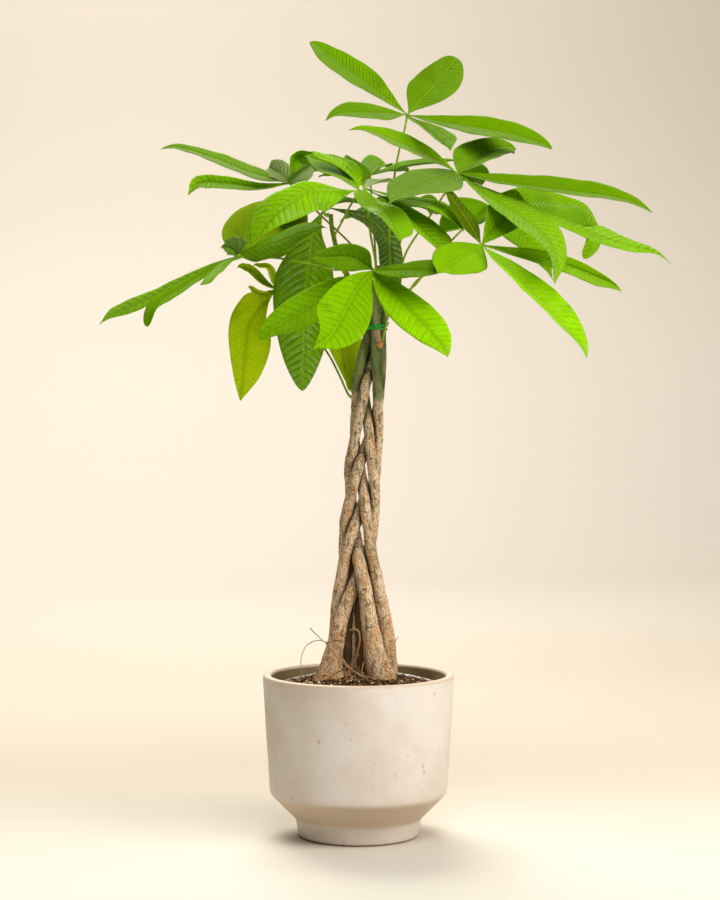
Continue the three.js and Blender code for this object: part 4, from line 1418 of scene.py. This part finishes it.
FRONDS = [
    Frond("frond_crown", 4, 471, [(38, 10, 587), (34, 10, 572), (29, 9, 543), (26, 10, 510)],
          (41, 10, 602), [
        Leaflet([(18, 16, 620), (-7, 22, 640), (-41, 30, 666)], (12.5, 0.5), (8.1, 0.7), 16.6, 1.4, 0.7,
                painted_sheen=(0, 0.3), veined=0.75, grain=0.55),
        Leaflet([(60, 30, 625), (78, 48, 648), (85, 55, 656)], (17.2, 0.4), (17.9, 0.65), 17.9, 1.4, 0.5,
                painted_sheen=(0.03, 0.12), veined=0.75, grain=0.55),
        Leaflet([(22, 1, 602), (1, -10, 601), (-15, -18, 599), (-27, -25, 592)], (8.7, 0.55), (5.3, 0.35),
                13.8, 1.4, 1, painted_sheen=(0.08, 0.45), grain=0.55),
        Leaflet([(68, 8, 596), (101, 5, 590), (134, 2, 583), (161, 0, 572)], (10.6, 0.6), (5.5, 0.55), 18.7,
                1.2, 0.6, painted_sheen=(0, 0.5), grain=0.55),
        Leaflet([(55, -15, 587), (66, -38, 574), (74, -55, 564)], (11.7, 0.75), (1.5, 0.3), 13.8, 1.6, 1,
                painted_sheen=(0.3, 0.55), grain=0.55),
    ]),
    Frond("frond_right_upper", 3, 452, [(59, -18, 515), (38, -13, 482)], (82, -20, 550), [
        Leaflet([(59, -24, 563), (34, -28, 574), (9, -32, 583), (-8, -35, 583)], (8.4, 0.45), (3.8, 0.45),
                16.6, 1.4, 1, Tone.BRIGHT, painted_sheen=(0.05, 0.8), veined=0.9, grain=0.55),
        Leaflet([(102, 9, 566), (120, 33, 577), (135, 50, 578)], (18.5, 0.25), (8, 0.6), 18.5, 0.8, 1,
                painted_sheen=(0.1, 0.5), veined=0.9, grain=0.55),
        Leaflet([(116, -29, 542), (164, -41, 534), (211, -53, 526), (236, -60, 514)], (10.4, 0.55),
                (2.7, 0.75), 20, 0.8, 0.9, painted_sheen=(0, 0.6), grain=0.55),
        Leaflet([(99, -32, 534), (130, -54, 511), (149, -68, 494), (157, -78, 476), (155, -90, 455)],
                (14.1, 0.55), (8, 0.7), 20, 1.4, 1, Tone.BRIGHT, painted_sheen=(0.1, 0.45), wax_and_glint=0.22, veined=0.5,
                grain=0.85),
        Leaflet([(66, -39, 544), (49, -60, 536), (33, -82, 525), (24, -95, 517)], (14.4, 0.65),
                (13.5, 0.25), 19.3, 0.6, 1.3, painted_sheen=(0.5, 0.6), veined=0.9, grain=0.55),
        Leaflet([(94, 20, 551), (106, 60, 548)], (13.7, 0.5), (8.5, 0.5), 15.6, tone=Tone.GREEN,
                lie=Lie.LEANING),
    ]),
    Frond("frond_right_front", 3, 437, [(74, -50, 475), (48, -38, 461), (40, -28, 450)], (99, -60, 488), [
        Leaflet([(91, -57, 503), (82, -54, 517), (71, -50, 533)], (6.1, 0.45), (5.5, 0.3), 13.8, 1.4, 0.5,
                Tone.SHADE, painted_sheen=(0.05, 0)),
        Leaflet([(115, -42, 507), (124, -31, 518), (136, -20, 528)], (16.6, 0.6), (15, 0.65), 17.4, 1.2,
                0.4, Tone.BRIGHT, Lie.CUPPED),
        Leaflet([(89, -78, 482), (76, -102, 473), (61, -132, 461)], (15.9, 0.5), (19.4, 0.25), 19.4, 0.8,
                0.9, Tone.BRIGHT, painted_sheen=(0, 0.08), veined=0.35),
        Leaflet([(122, -56, 483), (163, -49, 474), (196, -43, 462), (214, -40, 452)], (7.2, 0.55),
                (6.6, 0.8), 7.5, 1, 0.9, Tone.BRIGHT, Lie.CUPPED, painted_sheen=(0, 0.15), veined=0.35),
        Leaflet([(121, -69, 467), (137, -75, 450), (160, -85, 425), (175, -92, 406), (180, -95, 397)],
                (15, 0.6), (2.9, 0.25), 19.2, 1.2, 0.8, Tone.VIVID, painted_sheen=(0, 0.05), wax_and_glint=0.15, veined=0.3,
                grain=1),
    ]),
    Frond("frond_front", 3, 414, [(17, -56, 450), (23, -34, 430)], (12, -70, 467), [
        Leaflet([(-5, -82, 476), (-21, -91, 476), (-36, -100, 474)], (11.4, 0.3), (10.5, 0.45), 12, 1.4,
                0.6, Tone.GREEN, Lie.CUPPED, veined=0.15),
        Leaflet([(-15, -76, 454), (-46, -84, 433), (-66, -89, 421), (-78, -92, 411)], (13.7, 0.6),
                (13.7, 0.5), 16.5, 1.4, 0.6, Tone.BRIGHT, veined=0.3, grain=1),
        Leaflet([(1, -86, 454), (-13, -113, 428), (-23, -132, 411), (-34, -146, 402)], (20.7, 0.65),
                (21.7, 0.65), 22.8, 1, 1.3, Tone.BRIGHT, Lie.CUPPED, veined=0.42, grain=1),
        Leaflet([(21, -79, 456), (41, -99, 433), (59, -118, 412), (69, -130, 397)], (15.2, 0.65),
                (14.9, 0.45), 16.2, 0.8, 0.7, Tone.VIVID, veined=0.45, grain=1),
        Leaflet([(29, -84, 466), (52, -102, 465), (73, -120, 462)], (8.7, 0.8), (5.7, 0.65), 15.6, 0.6, 1.4,
                veined=0.3),
    ]),
    Frond("frond_middle", 5, 462, [(7, -28, 523), (10, -23, 499), (14, -16, 477)], (5, -30, 537), [
        Leaflet([(-17, -18, 556), (-41, -5, 569)], (5.9, 0.5), (0.5, 0.5), 12.9, 1.2, 0.8, Tone.VIVID,
                painted_sheen=(0.3, 0.3)),
        Leaflet([(0, 6, 554), (-6, 38, 569)], (8.1, 0.85), (7.5, 0.35), 15.6, 1.8, 0.5, painted_sheen=(0.08, 0.35)),
        Leaflet([(13, -49, 523), (24, -68, 510), (32, -95, 489)], (13.7, 0.7), (9.4, 0.25), 18.4, 1.8, 0.8,
                Tone.BRIGHT, painted_sheen=(0.08, 0.3), wax_and_glint=0.15, veined=0.9, grain=0.55),
        Leaflet([(16, -12, 543), (28, 6, 546)], (4.1, 0.5), (-1, 0.5), 12, tone=Tone.GREY,
                painted_sheen=(0.4, 0.15)),
        Leaflet([(26, -38, 524), (50, -49, 503), (69, -60, 479)], (13, 0.85), (4, 0.6), 15.6, 2, 0.6,
                Tone.BRIGHT, painted_sheen=(0, 0.05)),
        Leaflet([(34, -40, 528), (63, -50, 520), (85, -60, 499)], (4.5, 0.8), (4.9, 0.55), 14.4, 2, 1.4,
                Tone.BRIGHT, painted_sheen=(0.1, 0.1)),
    ]),
    Frond("frond_left_upper", 2, 500, [(-7, -36, 521), (-14, -22, 509)], (1, -45, 533), [
        Leaflet([(-15, -55, 532), (-39, -72, 530), (-54, -84, 520), (-70, -91, 505), (-85, -95, 483)],
                (15.1, 0.75), (18.2, 0.4), 21.2, 1.8, 1.3, Tone.BRIGHT, painted_sheen=(0.02, 0.03), wax_and_glint=0.22,
                veined=0.35, quilt=0.9, grain=1),
        Leaflet([(-15, 5, 554), (-37, 30, 568), (-52, 46, 570), (-57, 30, 552)], (4.5, 0.85), (6.3, 0.85),
                6.6, 2, 1, Tone.BRIGHT, Lie.CUPPED, painted_sheen=(0, 0.1), veined=0.2),
        Leaflet([(-11, -23, 548), (-28, 2, 561), (-46, 25, 569)], (12.5, 0.45), (9.3, 0.35), 19, 1.4, 1.1,
                Tone.BRIGHT, painted_sheen=(0, 0.5)),
    ]),
    Frond("frond_left_back", 1, 470, [(-34, 46, 523), (-9, 30, 498), (6, 17, 481)], (-59, 60, 550), [
        Leaflet([(-93, 57, 559), (-127, 54, 572), (-153, 51, 579), (-169, 50, 578)], (6.6, 0.3),
                (3.8, 0.25), 17.3, 2, 0.7, painted_sheen=(0.05, 0.7), veined=0.9),
        Leaflet([(-84, 51, 546), (-114, 42, 548), (-134, 35, 547), (-144, 30, 537)], (6.5, 0.85),
                (4.8, 0.8), 7.5, 1, 1, Tone.VIVID, Lie.CUPPED, painted_sheen=(0.1, 0.9)),
        Leaflet([(-68, 66, 559), (-78, 72, 564)], (11, 0.55), (7, 0.5), 11.5, 0.5, 0.4, Tone.GREY,
                Lie.CUPPED, painted_sheen=(0.4, 0.4), veined=1, grain=0.55),
        Leaflet([(-50, 65, 558), (-40, 70, 564)], (8.5, 0.5), (7.5, 0.5), 9, 0.5, 0.4, Tone.GREY,
                Lie.CUPPED, painted_sheen=(0.4, 0.4), veined=1, grain=0.55),
        Leaflet([(-49, 33, 557), (-39, 5, 559)], (4.1, 0.5), (-1.9, 0.5), 13.8, tone=Tone.BRIGHT,
                painted_sheen=(0.3, 0.3)),
        Leaflet([(-45, 89, 562), (-31, 120, 568)], (3.6, 0.5), (-2.4, 0.5), 13.8, tone=Tone.BRIGHT,
                painted_sheen=(0.3, 0.3)),
    ]),
    Frond("frond_left", 2, 470, [(-87, -23, 482), (-62, -29, 479), (-40, -30, 475), (-23, -22, 471)],
          (-100, -20, 482), [
        Leaflet([(-130, -25, 468), (-162, -31, 450), (-186, -35, 439), (-211, -40, 425)], (6.5, 0.85),
                (4.7, 0.7), 8.5, 0.8, 1.4, Tone.BRIGHT, painted_sheen=(0.3, 0.2), veined=0.35, quilt=0.9, grain=1),
        Leaflet([(-121, -34, 470), (-144, -51, 454), (-163, -65, 439), (-168, -75, 422)], (5.5, 0.85),
                (4, 0.65), 8, 1.2, 0.4, painted_sheen=(0, 0.02), veined=0.2),
        Leaflet([(-109, -50, 472), (-117, -90, 456)], (5.8, 0.85), (3.5, 0.25), 12.9, 1, 0.4, Tone.BRIGHT,
                painted_sheen=(0.4, 0.5)),
        Leaflet([(-106, -21, 488), (-113, -22, 488)], (14.9, 0.25), (5.4, 0.55), 15.6, 1.2, 1.4,
                lie=Lie.CUPPED, painted_sheen=(0.9, 0.5)),
        Leaflet([(-96, -9, 491), (-81, 11, 502), (-62, 38, 516), (-46, 60, 531)], (27.2, 0.25), (24.4, 0.4),
                28.6, 0.5, 0.8, Tone.YOUNG, Lie.CUPPED, painted_sheen=(0.03, 0.03), veined=0.4),
        Leaflet([(-85, -23, 488), (-64, -27, 493), (-45, -31, 500), (-26, -35, 504)], (8.5, 0.7),
                (10.9, 0.25), 18.4, 1.2, 1.4, painted_sheen=(0, 0.1)),
    ]),
    Frond("side_shoot", 5, 366, [(-50, 34, 433), (-26, 24, 403), (-15, 12, 382)], (-69, 30, 457), [
        Leaflet([(-79, 36, 463), (-93, 44, 474), (-104, 50, 477)], (4.9, 0.75), (2.6, 0.3), 5.1, 1, 0.8,
                Tone.YELLOW, Lie.CUPPED, painted_sheen=(0.05, 0.1)),
        Leaflet([(-71, 41, 463), (-78, 66, 478), (-92, 90, 481)], (3.9, 0.25), (2.8, 0.25), 4.1, 0.6, 0.6,
                Tone.YELLOW, Lie.CUPPED, painted_sheen=(0.05, 0.1)),
        Leaflet([(-80, 0, 452), (-90, -30, 456)], (2.8, 0.55), (5.3, 0.45), 5.6, 2, 0.7, Tone.YELLOW,
                Lie.CUPPED, painted_sheen=(0.05, 0.1)),
        Leaflet([(-82, 26, 443), (-92, 23, 429), (-95, 19, 410), (-97, 15, 387), (-99, 10, 363)],
                (21.1, 0.5), (16.6, 0.25), 21.4, 2, 0.8, Tone.YELLOW, veined=0.3),
    ]),
    Frond("side_shoot_small", 5, 372, [(-13, 12, 418), (-12, 7, 395)], (-16, 16, 443), [
        Leaflet([(-9, 13, 405), (-7, 11, 384), (-5, 10, 366)], (13.7, 0.25), (17.1, 0.25), 17.4, 0.6, 1.3,
                Tone.YELLOW, veined=0.3),
        Leaflet([(-24, 35, 437), (-31, 50, 423)], (5.4, 0.5), (1.2, 0.5), 10.1, tone=Tone.YOUNG),
        Leaflet([(-11, 37, 440), (-6, 55, 430)], (5.8, 0.5), (1.7, 0.5), 10.1, tone=Tone.YOUNG),
    ]),
    Frond("frond_left_hanging", 2, 517, [], (-28, 0, 524), [
        Leaflet([(-38, 2, 501), (-41, 4, 480), (-45, 6, 451), (-46, 9, 414), (-47, 12, 371)], (23.7, 0.45),
                (26.6, 0.45), 27.9, 1.6, 0.6, Tone.BRIGHT, Lie.ARCHED, painted_sheen=(0, 0.15), wax_and_glint=0.9,
                veined=0.95, quilt=2.4, grain=1),
        Leaflet([(-5, 4, 519), (11, 14, 514), (24, 24, 500), (28, 34, 474), (28, 38, 449)], (10.2, 0.75),
                (10.1, 0.7), 10.7, 1.4, 0.9, Tone.GREEN, Lie.ARCHED, painted_sheen=(0.1, 0.1), wax_and_glint=0.9, quilt=1.8),
        Leaflet([(-11, 18, 530), (6, 36, 530)], (4.3, 0.5), (-1.2, 0.5), 12.9, tone=Tone.GREEN),
        Leaflet([(-48, 18, 522), (-67, 36, 515)], (4.6, 0.5), (-1.8, 0.5), 14.7, tone=Tone.GREEN),
    ]),
    Frond("frond_right_back", 4, 447, [(99, 48, 519), (68, 36, 487), (45, 23, 458)], (112, 50, 530), [
        Leaflet([(98, 25, 516), (80, -2, 506), (68, -20, 501)], (24.2, 0.25), (3.7, 0.85), 24.2, 0.6, 0.5,
                Tone.BRIGHT, painted_sheen=(0.03, 0.1)),
        Leaflet([(147, 52, 532), (173, 53, 530), (192, 54, 528), (206, 55, 513)], (13.9, 0.3), (18.8, 0.85),
                19.3, 0.8, 1.4, Tone.BRIGHT, painted_sheen=(0.05, 0.12), wax_and_glint=0.15, veined=0.9, grain=0.55),
        Leaflet([(148, 68, 527), (189, 88, 521), (206, 98, 510), (206, 99, 500), (198, 100, 488)],
                (7, 0.85), (6.5, 0.85), 14, 0.6, 0.4, Tone.BRIGHT, painted_sheen=(0.1, 0)),
        Leaflet([(147, 49, 526), (189, 48, 510), (223, 46, 497), (253, 46, 489), (267, 45, 480)],
                (8.7, 0.6), (5.1, 0.6), 20, 1, 1.4, Tone.BRIGHT, painted_sheen=(0.25, 0.1), wax_and_glint=0.2, veined=0.9,
                grain=1),
        Leaflet([(129, 41, 513), (149, 31, 492), (164, 20, 464)], (11.6, 0.5), (10.8, 0.35), 17.5, 0.6, 1.3,
                Tone.BRIGHT, painted_sheen=(0.02, 0.05), wax_and_glint=0.1),
    ]),
    Frond("frond_back_right", 4, 456, [(39, 74, 509), (30, 48, 481)], (46, 90, 535), [
        Leaflet([(67, 74, 530), (86, 60, 517)], (6.7, 0.5), (0, 0.5), 15.6, painted_sheen=(0.1, 0.1)),
        Leaflet([(77, 111, 526), (105, 130, 510)], (6, 0.5), (-0.8, 0.5), 15.6, 1.2, 0.8,
                painted_sheen=(0.1, 0.05)),
        Leaflet([(56, 142, 540), (66, 195, 535)], (8.3, 0.5), (1.4, 0.5), 16.6, 1.2, 0.8, lie=Lie.LEANING,
                painted_sheen=(0.1, 0.05)),
        Leaflet([(29, 135, 542), (12, 180, 540)], (3.6, 0.5), (-3.2, 0.5), 15.6, painted_sheen=(0.1, 0.05)),
        Leaflet([(14, 105, 532), (-17, 120, 522)], (5.8, 0.5), (-0.5, 0.5), 14.7, painted_sheen=(0.1, 0.2)),
    ]),
    Frond("frond_back_left", 1, 459, [(12, 50, 524), (14, 24, 492)], (10, 70, 558), [
        Leaflet([(48, 75, 567), (86, 80, 571)], (5.5, 0.5), (-1.3, 0.5), 15.6, 1.2, 0.8, painted_sheen=(0.1, 0.2)),
        Leaflet([(17, 117, 571), (25, 165, 578)], (11.9, 0.5), (7.3, 0.5), 14.7, painted_sheen=(0.4, 0.3)),
        Leaflet([(27, 105, 565), (44, 140, 568)], (5, 0.5), (-0.6, 0.5), 12.9, lie=Lie.LEANING,
                painted_sheen=(0.2, 0.3)),
        Leaflet([(-5, 110, 565), (-20, 150, 569)], (5.1, 0.5), (-0.8, 0.5), 13.8, lie=Lie.LEANING),
        Leaflet([(-12, 80, 561), (-35, 90, 558)], (4.9, 0.5), (-1.5, 0.5), 14.7),
    ]),
]


@dataclass(frozen=True)
class Lamp:
    """A square soft light that faces a point. Sizes are in metres and powers in watts."""

    name: str
    place: Point
    size: float
    watts: float
    colour: Point
    at: Point

    def hang(self) -> None:
        """Adds the light to the scene."""
        data = bpy.data.lights.new(self.name, "AREA")
        data.size = self.size
        data.energy = self.watts
        data.color = self.colour
        ob = linked(self.name, data)
        ob.location = self.place
        ob.rotation_euler = (Vector(self.at) - Vector(self.place)).to_track_quat("-Z", "Y").to_euler()


@dataclass
class Studio:
    """Pale sweep, soft lights and the camera of the photograph, in metres.

    The sweep's floor runs from front before the pot to back behind it, and there it bends up. paper is its
    colour, and far and near are darker colours painted over it as shade.
    """

    lens: float = 83.2
    pitch: float = 1.377
    paper: Point = (0.910, 0.850, 0.755)
    far: Point = (0.525, 0.460, 0.370)
    near: Point = (0.655, 0.620, 0.535)
    sky: Point = (1.0, 0.80, 0.58)
    sky_strength: float = 0.09
    width: float = 12.0
    length: float = 10.5
    front: float = 3.0
    back: float = 2.4
    bend: float = 0.9
    lamps: tuple[Lamp, ...] = (
        Lamp("key", (1.45, -0.80, 1.10), 1.05, 24.5, (1.0, 0.975, 0.95), (0, 0, 0.35)),
        Lamp("top", (0.30, -1.05, 1.75), 1.20, 27.5, (1.0, 0.98, 0.96), (0, 0, 0.50)),
        Lamp("rim", (-0.20, 1.05, 1.45), 1.00, 25.0, (1.0, 0.98, 0.92), (0, 0, 0.50)),
        Lamp("wash", (-0.70, 1.40, 2.20), 1.60, 50.0, (1.0, 0.97, 0.93), (-0.3, 2.8, 0.0)),
    )

    def build(self) -> None:
        """Sets up the stage."""
        self._sweep()
        for lamp in self.lamps:
            lamp.hang()
        scene = bpy.context.scene
        scene.world = bpy.data.worlds.new("studio")
        scene.world.use_nodes = True
        sky = scene.world.node_tree.nodes["Background"]
        sky.inputs["Color"].default_value = (*self.sky, 1.0)
        sky.inputs["Strength"].default_value = self.sky_strength
        scene.view_settings.view_transform = "Standard"
        data = bpy.data.cameras.new("camera")
        data.lens = self.lens
        data.clip_end = 20.0
        camera = linked("camera", data)
        camera.location = EYE * MM
        camera.rotation_euler = (math.radians(90 - self.pitch), 0, 0)
        scene.camera = camera

    def _sweep(self) -> None:
        """A floor that curves up into a backdrop, painted darker as shade up the backdrop, behind the pot and
        at the front.
        """
        ob, across, along = sheet("pale_sweep", 2, 80)
        run = along * self.length - self.front
        over = run - self.back
        arc = np.clip(over / self.bend, 0, math.pi / 2)
        y = np.minimum(run, self.back) + self.bend * np.sin(arc)
        z = self.bend * (1 - np.cos(arc)) + np.maximum(over - self.bend * math.pi / 2, 0) - 0.0002
        place_corners(ob, np.column_stack([(across - 0.5) * self.width, y, z]))
        choose(ob)
        bpy.ops.object.shade_smooth()
        g = Graph("pale_paper")
        back = g.axis(1)
        colour = g.mix(g.noise(1.5, 2) * 0.25, self.paper, tuple(c * 0.94 for c in self.paper))
        # Painted shade: darker up the backdrop, on the floor behind the pot and on the floor at the front.
        colour = g.mix(g.axis(2).between(0.35, 1.30) * 0.42, colour, self.far)
        colour = g.mix(back.between(2.50, 0.95), colour, self.far)
        colour = g.mix(back.between(0.35, -0.25), colour, self.near)
        ob.data.materials.append(g.finish(g.skin(colour, 0.9)))


def main() -> None:
    """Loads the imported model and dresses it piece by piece."""
    logging.basicConfig(level=logging.INFO, format="%(message)s")
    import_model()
    Studio().build()
    litter, veins = Litter(), Veins()
    stems = [
        Stem(1, 364, (178, 205, 243, 262, 298, 331, 352, 372, 401, 418, 441)),
        Stem(2, 352, (168, 190, 214, 250, 283, 315, 349, 380, 411, 452, 478, 505)),
        Stem(3, 366, (171, 199, 226, 262, 290, 321, 350, 383, 409, 432)),
        Stem(4, 398, (176, 207, 238, 251, 276, 301, 329, 344, 362, 393, 420, 447)),
        Stem(5, 369, (183, 196, 221, 247, 271, 305, 336, 358, 387, 412, 440)),
    ]
    Pot().build(Glaze())
    Bed().build(litter, stems)
    bark = Bark().material()
    for stem in stems:
        stem.build(bark, stems)
    Tie().build(stems, CoatedWire().material())
    Rootlets().build(litter)
    blank = Blank(LeafSkin(veins), StalkSkin().material())
    for frond in FRONDS:
        frond.build(blank, stems, veins)
    blank.discard()


if __name__ == "__main__":
    main()
